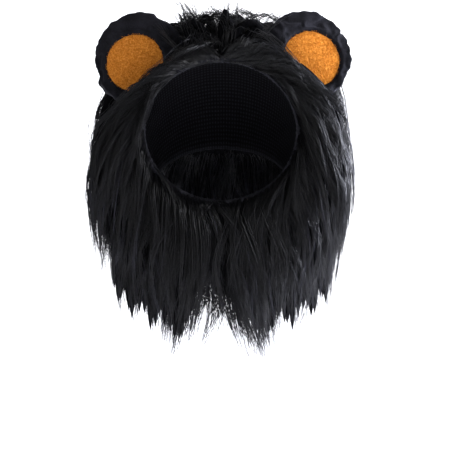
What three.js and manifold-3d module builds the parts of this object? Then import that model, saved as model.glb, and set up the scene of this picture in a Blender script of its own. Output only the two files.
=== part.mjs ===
// Lion mane wig for a small pet: a cloth hood, open at the face and at the neck, covered with long black
// pile, with an elastic face hem, a closing tape at the throat and two stuffed ears with felt fronts.
// Millimetres, +Z up, the face opening looks along -Y. The origin is the inside of the crown, where the
// wearer's head carries the hood.
import * as THREE from "three";
import { mergeVertices } from "three/addons/utils/BufferGeometryUtils.js";
import Module from "manifold-3d";

const wasm = await Module();
wasm.setup();

// Hood: oval sections turned about a cross axis below the chin, from the face opening to the neck opening.
const FACE_WIDTH = 104;
const FACE_HEIGHT = 94;
const NECK_WIDTH = 100;
const NECK_HEIGHT = 92;
const CROWN_SWELL_WIDTH = 18; // how much wider the hood is over the head than at its two rims
const CROWN_SWELL_HEIGHT = 24;
const HOOD_BEND_DEG = 52;
const CHIN_REACH = 36; // from the bend axis up to the chin, at the face opening
const THROAT_REACH = 29; // the same at the neck opening
const HOOD_WALL = 2;
const NECK_TURN_WIDTH = 8; // the turned edge at the neck
const NECK_TURN_THICKNESS = 1.6;
const SEAT_ALONG = 0.28; // share of the hood's length where the crown is highest
const CLEARANCE = 0.3; // between pieces that are sewn or seated on each other
const SLIVER = 0.05; // edges shorter than this, which cuts leave, are merged
const HAIR = 0.02;

// Closing: the hood is slit at the throat, and a tape under one end holds the other.
const SLIT_WIDTH = 6;
const TAPE_LENGTH = 46; // across the slit
const TAPE_WIDTH = 20; // front to back
const TAPE_THICKNESS = 1.8;

// Face hem: a round roll of cloth over elastic, along the front edge.
const HEM_DEPTH = 8; // front to back
const HEM_THICKNESS = 5;

// Mane: a dense layer of pile over the hood, with long locks.
const PILE_LENGTH = 94;
const PILE_LAYER = 3;
const LOCK_THICKNESS = 7;
const THROAT_PART_X = -9; // where the bib parts into two bunches
const THROAT_PART_PUSH = 0.24;
const THROAT_PART_SHARE = 0.8; // length of the groove there, against the others
const EAR_FUR_GAP = 1; // between an ear and the locks that pass it
const EAR_BARE_ABOVE = -13; // locks before an ear lie below this height from the middle of its felt
const EAR_FRONT_REACH = 40; // how far before an ear that holds
const CROWN_SHARE = 0.8; // how deep the layers of pile are on the crown, against the sides
const RIM_OVERHANG = 1; // how far the fringe at the face reaches in past the hem
const RIM_COVER = 5; // how deep the fringe lies over the mane beside the hem

// Ears.
const EAR_WIDTH = 68;
const EAR_RISE = 33; // above the middle of the felt
const EAR_DROP = 27; // below it, before the hood cuts it
const EAR_THICKNESS = 14;
const EAR_SQUARENESS = 2.3; // 2 is an ellipse
const FELT_DIAMETER = 42;
const FELT_THICKNESS = 2;
const FELT_DOME = 0.9;
const FELT_OFFSET = 4.8; // towards the ear's outer side
const EAR_SPREAD = { left: 58.5, right: 61 }; // from the middle of the hood to the middle of the felt
const EAR_HEIGHT = { left: 47, right: 49 }; // above the middle of the face opening
const EAR_SETBACK = 17; // behind the face opening
const EAR_LEAN_DEG = 44; // outwards
const EAR_TILT_DEG = 7; // top backwards
const EAR_YAW_DEG = 8; // face outwards

const BEND = THREE.MathUtils.degToRad(HOOD_BEND_DEG);
const { lerp, clamp, degToRad } = THREE.MathUtils;

// Half sizes of the hood's inside at a share of its length, and how far its middle is from the bend axis.
function hoodSection(along) {
  const swell = Math.sin(Math.PI * clamp(along, 0, 1));
  const halfWidth = (lerp(FACE_WIDTH, NECK_WIDTH, along) + CROWN_SWELL_WIDTH * swell) / 2;
  const halfHeight = (lerp(FACE_HEIGHT, NECK_HEIGHT, along) + CROWN_SWELL_HEIGHT * swell) / 2;
  const middle = lerp(CHIN_REACH, THROAT_REACH, along) + halfHeight;
  return { halfWidth, halfHeight, middle };
}

// A point on or off the hood's inside, with the bend axis through the origin. around is 0 at the top.
function pointFromAxis(along, around, offset) {
  const { halfWidth, halfHeight, middle } = hoodSection(along);
  const reach = middle + (halfHeight + offset) * Math.cos(around);
  const turn = BEND * along;
  const x = (halfWidth + offset) * Math.sin(around);
  return new THREE.Vector3(x, reach * Math.sin(turn), reach * Math.cos(turn));
}

const SEAT = pointFromAxis(SEAT_ALONG, 0, 0);
const FACE_MIDDLE = new THREE.Vector3(0, 0, hoodSection(0).middle).sub(SEAT);
const HEAD_MIDDLE = pointFromAxis(0.45, Math.PI / 2, -hoodSection(0.45).halfWidth).sub(SEAT);

function hoodPoint(along, around, offset) {
  return pointFromAxis(along, around, offset).sub(SEAT);
}

// Length of the hood at the top, which turns a width along it into a share.
const CROWN_LENGTH = BEND * (hoodSection(0.5).middle + hoodSection(0.5).halfHeight);

// Six times the volume inside a closed triangle mesh, negative where its faces point inwards.
function signedVolume(points, index) {
  let sum = 0;
  for (let i = 0; i < index.length; i += 3) {
    const [a, b, c] = [points[index[i]], points[index[i + 1]], points[index[i + 2]]];
    sum += a.dot(new THREE.Vector3().crossVectors(b, c));
  }
  return sum;
}

// Closed geometry from a row of rings with equal, even point counts. The last ring is joined to the first,
// or each end ring is closed by a strip that joins its opposite points.
function loft(rings, { joined = false } = {}) {
  const count = rings[0].length;
  const points = rings.flat();
  const index = [];
  const quad = (a, b, c, d) => index.push(a, b, c, a, c, d);
  for (let r = 0; r < (joined ? rings.length : rings.length - 1); r++) {
    const here = r * count;
    const next = ((r + 1) % rings.length) * count;
    for (let i = 0; i < count; i++) {
      const j = (i + 1) % count;
      quad(here + i, here + j, next + j, next + i);
    }
  }
  const last = (rings.length - 1) * count;
  for (let i = 0; i < count / 2 - 1 && !joined; i++) {
    const j = count - 1 - i;
    quad(i, j, j - 1, i + 1);
    quad(last + i, last + i + 1, last + j - 1, last + j);
  }
  if (signedVolume(points, index) < 0) index.reverse();
  const geometry = new THREE.BufferGeometry();
  geometry.setFromPoints(points);
  geometry.setIndex(index);
  return geometry;
}

function toSolid(geometry) {
  const merged = mergeVertices(geometry.clone(), 1e-4);
  return new wasm.Manifold(
    new wasm.Mesh({
      numProp: 3,
      vertProperties: new Float32Array(merged.attributes.position.array),
      triVerts: new Uint32Array(merged.index.array),
    })
  );
}

function toGeometry(solid) {
  const mesh = solid.getMesh();
  const geometry = new THREE.BufferGeometry();
  geometry.setAttribute("position", new THREE.Float32BufferAttribute(mesh.vertProperties, 3));
  geometry.setIndex(new THREE.BufferAttribute(mesh.triVerts, 1));
  geometry.computeVertexNormals();
  return geometry;
}

// The largest body of a solid: cuts can leave chips of a lock's tip and slivers behind.
function mainBody(solid) {
  return solid.simplify(SLIVER).decompose().reduce((a, b) => (a.volume() > b.volume() ? a : b));
}

// Corners where locks touch are drawn apart by a hair, each towards its own neighbours, so that the solid
// doesn't touch itself.
function drawApart(geometry) {
  const { position } = geometry.attributes;
  const corner = (i) => new THREE.Vector3().fromBufferAttribute(position, i);
  const sums = Array.from({ length: position.count }, () => ({ total: new THREE.Vector3(), count: 0 }));
  const places = new Map();
  for (let i = 0; i < position.count; i++) {
    const key = corner(i).divideScalar(HAIR).round().toArray().join();
    places.set(key, [...(places.get(key) ?? []), i]);
  }
  geometry.index.array.forEach((i, k, index) => {
    const next = index[k - (k % 3) + ((k + 1) % 3)];
    sums[i].total.add(corner(next));
    sums[i].count += 1;
  });
  for (const touching of places.values()) {
    if (touching.length < 2) continue;
    for (const i of touching) {
      const { total, count } = sums[i];
      const way = total.divideScalar(count).sub(corner(i)).setLength(HAIR);
      position.setXYZ(i, ...corner(i).add(way).toArray());
    }
  }
  return geometry;
}

// A band of cloth on the hood, part of the way round: its outer side has the offsets of a row of stations
// along the hood, its inner side one offset, both from the hood's inside.
function hoodBand({ stations, inner, start, end, steps }) {
  const rings = [];
  for (let i = 0; i <= steps; i++) {
    const around = lerp(start, end, i / steps);
    const out = stations.map(({ along, outer }) => hoodPoint(along, around, outer));
    const back = stations.map(({ along }) => hoodPoint(along, around, inner));
    rings.push([...out, ...back.reverse()]);
  }
  return loft(rings);
}

// Half the slit's angle at the throat, where the hood's section has its own curve.
const SLIT_HALF_ANGLE = SLIT_WIDTH / 2 / hoodSection(0.5).halfWidth;
const AROUND = { start: SLIT_HALF_ANGLE - Math.PI, end: Math.PI - SLIT_HALF_ANGLE, steps: 28 };

// Stations along the hood, with the last stretch for the turned edge.
const TURN_FROM = 1 - NECK_TURN_WIDTH / CROWN_LENGTH;
const BEFORE_TURN = TURN_FROM - CLEARANCE / CROWN_LENGTH;
const ALONG_STEPS = 7;
const upTo = (end) => Array.from({ length: ALONG_STEPS + 1 }, (_, k) => (end * k) / ALONG_STEPS);

function hoodWall() {
  const thick = HOOD_WALL + NECK_TURN_THICKNESS;
  const stations = upTo(TURN_FROM).map((along) => ({ along, outer: HOOD_WALL }));
  stations.push({ along: TURN_FROM, outer: thick }, { along: 1, outer: thick });
  return hoodBand({ ...AROUND, stations, inner: 0 });
}

// The space inside the hood as a filled body, with the hood's own facets, moved out by an offset and
// continued forwards.
function hoodCore(offset, forward) {
  const { start, end, steps } = AROUND;
  const turns = Array.from({ length: steps + 1 }, (_, i) => lerp(start, end, i / steps));
  turns.push(Math.PI);
  const ringAt = (along, shift) =>
    turns.map((around) => hoodPoint(along, around, offset).sub(new THREE.Vector3(0, shift, 0)));
  return loft([ringAt(0, forward), ...[...upTo(TURN_FROM), 1].map((along) => ringAt(along, 0))]);
}

function throatTape() {
  const half = TAPE_LENGTH / 2 / hoodSection(0.5).halfWidth;
  const halfWidth = TAPE_WIDTH / 2 / (BEND * lerp(CHIN_REACH, THROAT_REACH, 0.5));
  const stations = [-1, -0.5, 0, 0.5, 1].map((k) => ({ along: 0.5 + k * halfWidth, outer: 0 }));
  const inner = -CLEARANCE - TAPE_THICKNESS;
  const stretch = { start: Math.PI - half, end: Math.PI + half, steps: 10 };
  const band = toSolid(hoodBand({ ...stretch, stations, inner }));
  return toGeometry(band.intersect(toSolid(hoodCore(-CLEARANCE, 0))));
}

// The roll's section at an angle round the face opening, grown by a clearance.
function hemSection(around, grow) {
  const sides = 8;
  return Array.from({ length: sides }, (_, k) => {
    const turn = (2 * Math.PI * (k + 0.5)) / sides;
    const p = hoodPoint(0, around, HOOD_WALL / 2 + (HEM_THICKNESS / 2 + grow) * Math.cos(turn));
    p.y -= CLEARANCE + HEM_DEPTH / 2 + (HEM_DEPTH / 2 + grow) * Math.sin(turn);
    return p;
  });
}

// A roll of cloth in front of the hood's front edge, from one side of the slit round to the other.
function faceHem() {
  const { start, end, steps } = AROUND;
  return loft(Array.from({ length: steps + 1 }, (_, i) => hemSection(lerp(start, end, i / steps), 0)));
}

// The room that the roll needs in the pile, all the way round.
function hemRoom() {
  const { start, end, steps } = AROUND;
  const turns = Array.from({ length: steps + 1 }, (_, i) => lerp(start, end, i / steps));
  return loft([...turns, Math.PI].map((around) => hemSection(around, 2 * CLEARANCE)), { joined: true });
}

// An ear stands in its own frame: X outwards, Z towards its tip, front -Y, with the felt's middle at 0.
// Dents where gathers pull the edge in: angle from the tip, outwards positive, depth and spread as shares.
const EAR_DENTS = {
  left: [
    { at: -68, depth: 0.05, spread: 8 },
    { at: 26, depth: 0.035, spread: 9 },
    { at: 64, depth: 0.035, spread: 8 },
  ],
  right: [
    { at: -52, depth: 0.035, spread: 8 },
    { at: 4, depth: 0.03, spread: 9 },
    { at: 40, depth: 0.02, spread: 8 },
    { at: 74, depth: 0.025, spread: 9 },
  ],
};

// The ear's section: reach is 0 at the felt's middle, 1 at its rim and 2 at the ear's edge; depth is a
// share of half the thickness, front negative.
const EAR_SECTION = [
  { reach: 0.55, depth: -0.42 },
  { reach: 1.02, depth: -0.42 },
  { reach: 1.2, depth: -0.8 },
  { reach: 1.5, depth: -1.0 },
  { reach: 1.8, depth: -0.78 },
  { reach: 1.97, depth: -0.3 },
  { reach: 1.97, depth: 0.3 },
  { reach: 1.75, depth: 0.76 },
  { reach: 1.3, depth: 0.96 },
  { reach: 0.6, depth: 1.0 },
];

function earRadius(angle, side, grow) {
  const rise = Math.cos(angle) > 0 ? EAR_RISE : EAR_DROP;
  const n = EAR_SQUARENESS;
  const wide = Math.abs(Math.sin(angle) / (EAR_WIDTH / 2)) ** n;
  const tall = Math.abs(Math.cos(angle) / rise) ** n;
  const degrees = THREE.MathUtils.radToDeg(angle);
  const dentOf = ({ at, depth, spread }) => depth * Math.exp(-(((degrees - at) / spread) ** 2));
  const dent = EAR_DENTS[side].reduce((sum, each) => sum + dentOf(each), 0);
  return (wide + tall) ** (-1 / n) * (1 - dent) + grow;
}

// A stuffed ear, or with filled, the space that it and its felt need, grown by a clearance.
function earForm(side, { grow = 0, filled = false } = {}) {
  const steps = 32;
  const out = side === "right" ? 1 : -1;
  const place = (reach, depth, angle) => {
    const way = new THREE.Vector2(Math.sin(angle), Math.cos(angle));
    const rim = way.clone().multiplyScalar(FELT_DIAMETER / 2);
    const edge = way.clone().multiplyScalar(earRadius(angle, side, grow));
    edge.x -= FELT_OFFSET;
    const at = reach <= 1 ? rim.multiplyScalar(reach) : rim.lerp(edge, reach - 1);
    return new THREE.Vector3(out * at.x, depth * (EAR_THICKNESS / 2 + grow), at.y);
  };
  const depthOf = (row) => (filled && row.depth < 0 && row.reach < 1.9 ? -1 : row.depth);
  const angles = Array.from({ length: steps }, (_, i) => -Math.PI + (2 * Math.PI * i) / steps);
  const rings = EAR_SECTION.map((row) => angles.map((angle) => place(row.reach, depthOf(row), angle)));
  return loft(rings);
}

function earFelt(side) {
  const steps = 24;
  const out = side === "right" ? 1 : -1;
  const back = EAR_SECTION[0].depth * (EAR_THICKNESS / 2) - CLEARANCE;
  const radius = FELT_DIAMETER / 2 - CLEARANCE;
  const rows = [
    { reach: 0.5, depth: back },
    { reach: 1, depth: back },
    { reach: 1, depth: back - FELT_THICKNESS * 0.7 },
    { reach: 0.96, depth: back - FELT_THICKNESS },
    { reach: 0.6, depth: back - FELT_THICKNESS - FELT_DOME * 0.7 },
    { reach: 0.25, depth: back - FELT_THICKNESS - FELT_DOME },
  ];
  const rings = rows.map(({ reach, depth }) =>
    Array.from({ length: steps }, (_, i) => {
      const angle = (2 * Math.PI * i) / steps;
      const x = out * radius * reach * Math.sin(angle);
      return new THREE.Vector3(x, depth, radius * reach * Math.cos(angle));
    })
  );
  return loft(rings);
}

function earGroup(side) {
  const out = side === "right" ? 1 : -1;
  const group = new THREE.Group();
  const place = new THREE.Vector3(out * EAR_SPREAD[side], EAR_SETBACK, EAR_HEIGHT[side]);
  group.position.copy(FACE_MIDDLE).add(place);
  const [tilt, lean, yaw] = [EAR_TILT_DEG, EAR_LEAN_DEG, EAR_YAW_DEG].map(degToRad);
  group.rotation.set(-tilt, out * lean, out * yaw, "ZXY");
  group.updateMatrixWorld(true);
  return group;
}

const EARS = { left: earGroup("left"), right: earGroup("right") };
const INTO_EAR = {
  left: EARS.left.matrixWorld.clone().invert(),
  right: EARS.right.matrixWorld.clone().invert(),
};

// Moves a point of a lock out of the hood and the space straight below its neck opening, and out of the
// ears, to lie at least margin clear of them.
function keepClear(point, margin) {
  const p = point.clone().add(SEAT);
  const axial = p.y * Math.cos(BEND) - p.z * Math.sin(BEND);
  const reach = HOOD_WALL + margin;
  if (p.y <= 0) {
    const { halfWidth, halfHeight, middle } = hoodSection(0);
    const share = Math.hypot(p.x / (halfWidth + reach), (p.z - middle) / (halfHeight + reach));
    if (share < 1) {
      p.x /= share;
      p.z = middle + (p.z - middle) / share;
    }
  } else if (axial > 0) {
    const { halfWidth, halfHeight, middle } = hoodSection(1);
    const centre = middle * Math.sin(BEND);
    const deep = halfHeight * Math.sin(BEND) + reach;
    const share = Math.hypot(p.x / (halfWidth + reach), (p.y - centre) / deep);
    if (share < 1) {
      p.x /= share;
      p.y = centre + (p.y - centre) / share;
    }
  } else {
    const turn = Math.atan2(p.y, p.z);
    const { halfWidth, halfHeight, middle } = hoodSection(turn / BEND);
    const up = Math.hypot(p.y, p.z) - middle;
    const share = Math.hypot(p.x / (halfWidth + reach), up / (halfHeight + reach));
    if (share < 1) {
      const distance = middle + up / share;
      p.set(p.x / share, distance * Math.sin(turn), distance * Math.cos(turn));
    }
  }
  p.sub(SEAT);
  for (const side of ["left", "right"]) {
    const local = p.clone().applyMatrix4(INTO_EAR[side]);
    const thick = EAR_THICKNESS / 2 + EAR_FUR_GAP;
    const inward = (side === "right" ? local.x : -local.x) + FELT_OFFSET;
    const angle = Math.atan2(inward, local.z);
    if (Math.hypot(inward, local.z) > earRadius(angle, side, EAR_FUR_GAP)) continue;
    if (local.y < 0 && local.y > -EAR_FRONT_REACH) local.z = Math.min(local.z, EAR_BARE_ABOVE);
    if (Math.abs(local.y) < thick) local.y = local.y < 0 ? -thick : thick;
    p.copy(local).applyMatrix4(EARS[side].matrixWorld);
  }
  return p;
}

// How the pile is combed at the sides, on the crown and at the throat: out from the hood, down round it and
// back along it.
const COMB = {
  side: { out: 1, down: 0.95, back: 0.12 },
  crown: { out: 1, down: 0.35, back: 0.7 },
  throat: { out: 0.55, down: 0, back: 0 },
};
// How the fringe at the face is combed: away from the face's middle, round it and back over the mane.
const RIM_COMB = {
  side: { out: 0.7, down: 0.75, back: 0.3 },
  crown: { out: 0.75, down: 0.5, back: 0.35 },
  throat: { out: 0.3, down: 0, back: 0.3 },
};
// The pull of its weight at the root, what that gains to the tip and at the throat, and its share on the
// crown.
const WEIGHT = { root: 0.12, tip: 1.5, throat: 0.5, crown: 0.8 };

// How far an angle round the hood is on the crown and at the throat, each from 0 to 1.
function zones(around) {
  const low = Math.abs(around) / Math.PI;
  const { smoothstep } = THREE.MathUtils;
  return { crown: 1 - smoothstep(low, 0.08, 0.34), throat: smoothstep(low, 0.72, 0.95) };
}

// A share between the values for the sides, the crown and the throat.
function blend(values, key, { crown, throat }) {
  return lerp(lerp(values.side[key], values.crown[key], crown), values.throat[key], throat);
}

// Follows a heading down from a start, kept clear by a margin that grows from the root.
function hang(start, around, comb, { length, steps, marginAt }) {
  const { crown, throat } = zones(around);
  const point = start.clone();
  const line = [start.clone()];
  for (let i = 1; i <= steps; i++) {
    const t = i / steps;
    const heading = comb.clone().multiplyScalar((1 - t) ** 1.2);
    heading.z -= (WEIGHT.root + WEIGHT.tip * t + WEIGHT.throat * throat) * lerp(1, WEIGHT.crown, crown);
    heading.x += THROAT_PART_PUSH * throat * t * Math.sign(start.x - THROAT_PART_X);
    point.addScaledVector(heading.normalize(), length / steps);
    point.copy(keepClear(point, marginAt(t)));
    line.push(point.clone());
  }
  return line;
}

// The line that the pile follows from a root: it leaves the hood at a lift, is combed back over the crown
// and down round the face, and then hangs.
function pileLine(around, { along, length, lift, stand, layer, root, steps }) {
  const step = 0.01;
  const down = hoodPoint(along, around + step, HOOD_WALL).sub(hoodPoint(along, around - step, HOOD_WALL));
  const back = hoodPoint(along + step, around, HOOD_WALL).sub(hoodPoint(along - step, around, HOOD_WALL));
  const out = new THREE.Vector3().crossVectors(down, back).normalize();
  down.multiplyScalar(Math.sign(around)).normalize();
  back.normalize();
  const zone = zones(around);
  const comb = new THREE.Vector3()
    .addScaledVector(out, lift * blend(COMB, "out", zone) * lerp(1, stand, zone.crown))
    .addScaledVector(down, blend(COMB, "down", zone))
    .addScaledVector(back, blend(COMB, "back", zone));
  const depth = layer * lerp(1, CROWN_SHARE, zone.crown);
  const marginAt = (t) => depth * Math.sin((Math.PI / 2) * Math.min(1, t * 3)) + root;
  return hang(hoodPoint(along, around, HOOD_WALL + root), around, comb, { length, steps, marginAt });
}

// The line of the fringe: from the face side of the hem over the roll's front, then over the mane.
function rimLine(around, { length, layer, root, steps }) {
  const zone = zones(around);
  const comb = new THREE.Vector3()
    .addScaledVector(new THREE.Vector3(Math.sin(around), 0, Math.cos(around)), blend(RIM_COMB, "out", zone))
    .addScaledVector(
      new THREE.Vector3(Math.cos(around), 0, -Math.sin(around)),
      Math.sign(around) * blend(RIM_COMB, "down", zone)
    );
  comb.y += blend(RIM_COMB, "back", zone);
  const inside = HOOD_WALL / 2 - HEM_THICKNESS / 2 - RIM_OVERHANG;
  const start = hoodPoint(0, around, inside);
  start.y -= HEM_DEPTH + 2 * CLEARANCE + root;
  const marginAt = (t) => lerp(inside - HOOD_WALL, layer, Math.min(1, t * 4));
  return hang(start, around, comb, { length, steps, marginAt });
}

// Rows of locks from the face opening back: share of the hood's length, number round the hood, length as a
// share of the pile, lift off the hood, how much more that is on the crown, and how deep a layer of pile
// lies under the lock, in millimetres. The first row is the fringe that hides the hem.
const LOCK_ROWS = [
  { line: rimLine, locks: 14, length: 0.94, layer: RIM_COVER },
  { line: pileLine, along: 0.08, locks: 11, length: 1.0, lift: 0.55, stand: 1.7, layer: 8 },
  { line: pileLine, along: 0.24, locks: 10, length: 0.95, lift: 0.6, stand: 1.3, layer: 10 },
  { line: pileLine, along: 0.5, locks: 9, length: 1.0, lift: 0.6, stand: 1, layer: 10 },
  { line: pileLine, along: 0.8, locks: 8, length: 1.14, lift: 0.55, stand: 0.9, layer: 8 },
];

// A lock's thickness from root to tip, as a share.
const LOCK_SHAPE = [
  { at: 0, thick: 0.6 },
  { at: 0.2, thick: 0.9 },
  { at: 0.45, thick: 1.0 },
  { at: 0.75, thick: 0.65 },
  { at: 1, thick: 0.1 },
];
const VALLEY_LENGTH = 0.78; // of the groove between two locks, as a share of the lock's own
const VALLEY_THICKNESS = 0.45;

// A steady spread of values from 0 to 1.
const evenSpread = (i) => (i * 0.618034) % 1;

// One edge of a lock or its ridge, as a closed section: its outer side from root to tip, then its inner
// side back.
function lockSection(follow, around, settings, thickness) {
  const steps = 20;
  const line = follow(around, { ...settings, steps });
  const outer = [];
  const inner = [];
  for (const { at, thick } of LOCK_SHAPE) {
    const i = Math.round(at * steps);
    const heading = line[Math.min(i + 1, steps)].clone().sub(line[Math.max(i - 1, 0)]).normalize();
    const outwards = line[i].clone().sub(HEAD_MIDDLE);
    outwards.addScaledVector(heading, -outwards.dot(heading)).normalize();
    outer.push(line[i].clone().addScaledVector(outwards, thickness * thick));
    inner.unshift(line[i].clone());
  }
  return [...outer, ...inner];
}

// A row of locks side by side as one strip: ridges with pointed tips, and shorter, thinner grooves between.
function lockRow({ line, locks, length, layer, ...rest }, row) {
  const sections = [];
  for (let i = 0; i < 2 * locks; i++) {
    const around = -Math.PI + (Math.PI * (i + 0.5)) / locks;
    const ridge = i % 2 === 1;
    const spread = evenSpread(row * 7 + i);
    const uneven = lerp(0.88, 1.08, spread);
    const parting = i === 0 ? THROAT_PART_SHARE : 1;
    const share = length * uneven * parting * (ridge ? 1 : VALLEY_LENGTH);
    const root = CLEARANCE + PILE_LAYER * lerp(0.3, 0.7, spread);
    const under = layer * lerp(1.15, 0.85, spread);
    const settings = { ...rest, length: PILE_LENGTH * share, layer: under, root };
    sections.push(lockSection(line, around, settings, LOCK_THICKNESS * (ridge ? 1 : VALLEY_THICKNESS)));
  }
  return loft(sections, { joined: true });
}

function maneFur() {
  const stations = upTo(BEFORE_TURN).map((along) => ({ along, outer: HOOD_WALL + CLEARANCE + PILE_LAYER }));
  const layer = hoodBand({ ...AROUND, stations, inner: 0 });
  const fur = wasm.Manifold.union([layer, ...LOCK_ROWS.map(lockRow)].map(toSolid));
  const hood = toSolid(hoodCore(HOOD_WALL + CLEARANCE, HEM_DEPTH / 2));
  const overTurn = HOOD_WALL + NECK_TURN_THICKNESS + CLEARANCE;
  const turn = [BEFORE_TURN, 1 + CLEARANCE / CROWN_LENGTH].map((along) => ({ along, outer: overTurn }));
  const turnedEdge = toSolid(hoodBand({ ...AROUND, stations: turn, inner: 0 }));
  const ears = ["left", "right"].map((side) =>
    toSolid(earForm(side, { grow: CLEARANCE, filled: true }).applyMatrix4(EARS[side].matrixWorld))
  );
  const taken = wasm.Manifold.union([hood, turnedEdge, toSolid(hemRoom()), ...ears]);
  return drawApart(toGeometry(mainBody(fur.subtract(taken))));
}

// An ear piece with its foot cut to sit on the hood.
function seatOnHood(geometry, side) {
  const hood = toSolid(hoodCore(HOOD_WALL + CLEARANCE, HEM_DEPTH).applyMatrix4(INTO_EAR[side]));
  return toGeometry(mainBody(toSolid(geometry).subtract(hood)));
}

const knitBacking = () => new THREE.MeshStandardMaterial({ color: 0x1c1c20, roughness: 0.95, metalness: 0 });
const blackPlush = () => new THREE.MeshStandardMaterial({ color: 0x18181b, roughness: 0.9, metalness: 0 });
const orangeFelt = () => new THREE.MeshStandardMaterial({ color: 0xd9822b, roughness: 1, metalness: 0 });
const blackPile = () => new THREE.MeshStandardMaterial({ color: 0x141417, roughness: 0.55, metalness: 0 });
const hookTape = () => new THREE.MeshStandardMaterial({ color: 0x121214, roughness: 0.8, metalness: 0 });

function piece(name, geometry, material) {
  const mesh = new THREE.Mesh(geometry, material);
  mesh.name = name;
  return mesh;
}

const wig = new THREE.Group();
wig.add(piece("hood", hoodWall(), knitBacking()));
wig.add(piece("face_hem", faceHem(), blackPlush()));
wig.add(piece("throat_tape", throatTape(), hookTape()));
wig.add(piece("mane", maneFur(), blackPile()));
for (const side of ["left", "right"]) {
  const ear = EARS[side];
  ear.add(piece(`ear_${side}`, seatOnHood(earForm(side), side), blackPlush()));
  ear.add(piece(`ear_${side}_felt`, seatOnHood(earFelt(side), side), orangeFelt()));
  wig.add(ear);
}

export default wig;
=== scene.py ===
"""Looks of a lion mane wig for a small pet: cloth hood, gathered face hem, throat tape, stuffed ears with
felt fronts, and a mane of long synthetic pile. Metres, +Z up; the face opening looks along -Y, and the
origin is the inside of the crown.
"""

import logging
import math
from contextlib import contextmanager
from dataclasses import dataclass, field
from enum import Enum
from typing import Callable, Iterator

import bmesh
import bpy
import numpy as np
from mathutils import Matrix, Vector


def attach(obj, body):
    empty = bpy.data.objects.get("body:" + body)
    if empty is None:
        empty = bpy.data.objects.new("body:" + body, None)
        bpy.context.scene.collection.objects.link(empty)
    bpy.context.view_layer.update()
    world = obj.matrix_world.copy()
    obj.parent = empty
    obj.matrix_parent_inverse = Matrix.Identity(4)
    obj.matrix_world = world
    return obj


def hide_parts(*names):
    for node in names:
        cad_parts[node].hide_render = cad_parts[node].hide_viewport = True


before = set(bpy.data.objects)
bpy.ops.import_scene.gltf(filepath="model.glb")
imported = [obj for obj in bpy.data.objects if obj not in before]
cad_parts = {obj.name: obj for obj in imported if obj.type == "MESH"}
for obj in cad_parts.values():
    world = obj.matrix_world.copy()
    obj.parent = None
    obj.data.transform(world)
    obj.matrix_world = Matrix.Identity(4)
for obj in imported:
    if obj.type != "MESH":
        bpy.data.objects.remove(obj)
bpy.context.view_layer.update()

MM = 0.001
BODY = "root"
Points = np.ndarray

logging.basicConfig(level=logging.INFO, format="%(message)s")
log = logging.getLogger("lion_mane_wig")


class Side(Enum):
    """The two sides as seen from the front, with the sign of X there."""

    LEFT = -1
    RIGHT = 1

    @property
    def word(self) -> str:
        """The side's name as it stands in the names of nodes."""
        return self.name.lower()


def smooth(value: Points | float, low: float, high: float) -> Points | float:
    """A soft step from 0 at low to 1 at high.

    Args:
        value: where on the step, a number or an array.
        low: where the step starts.
        high: where it ends.

    Returns:
        The step's height there.
    """
    t = np.clip((value - low) / (high - low), 0, 1)
    return t * t * (3 - 2 * t)


def mix(low: Points | float, high: Points | float, share: Points | float) -> Points | float:
    """The value a share of the way from low to high."""
    return low + (high - low) * share


def unit(vectors: Points) -> Points:
    """Vectors along the last axis, each made one long."""
    return vectors / np.maximum(np.linalg.norm(vectors, axis=-1, keepdims=True), 1e-12)


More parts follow.
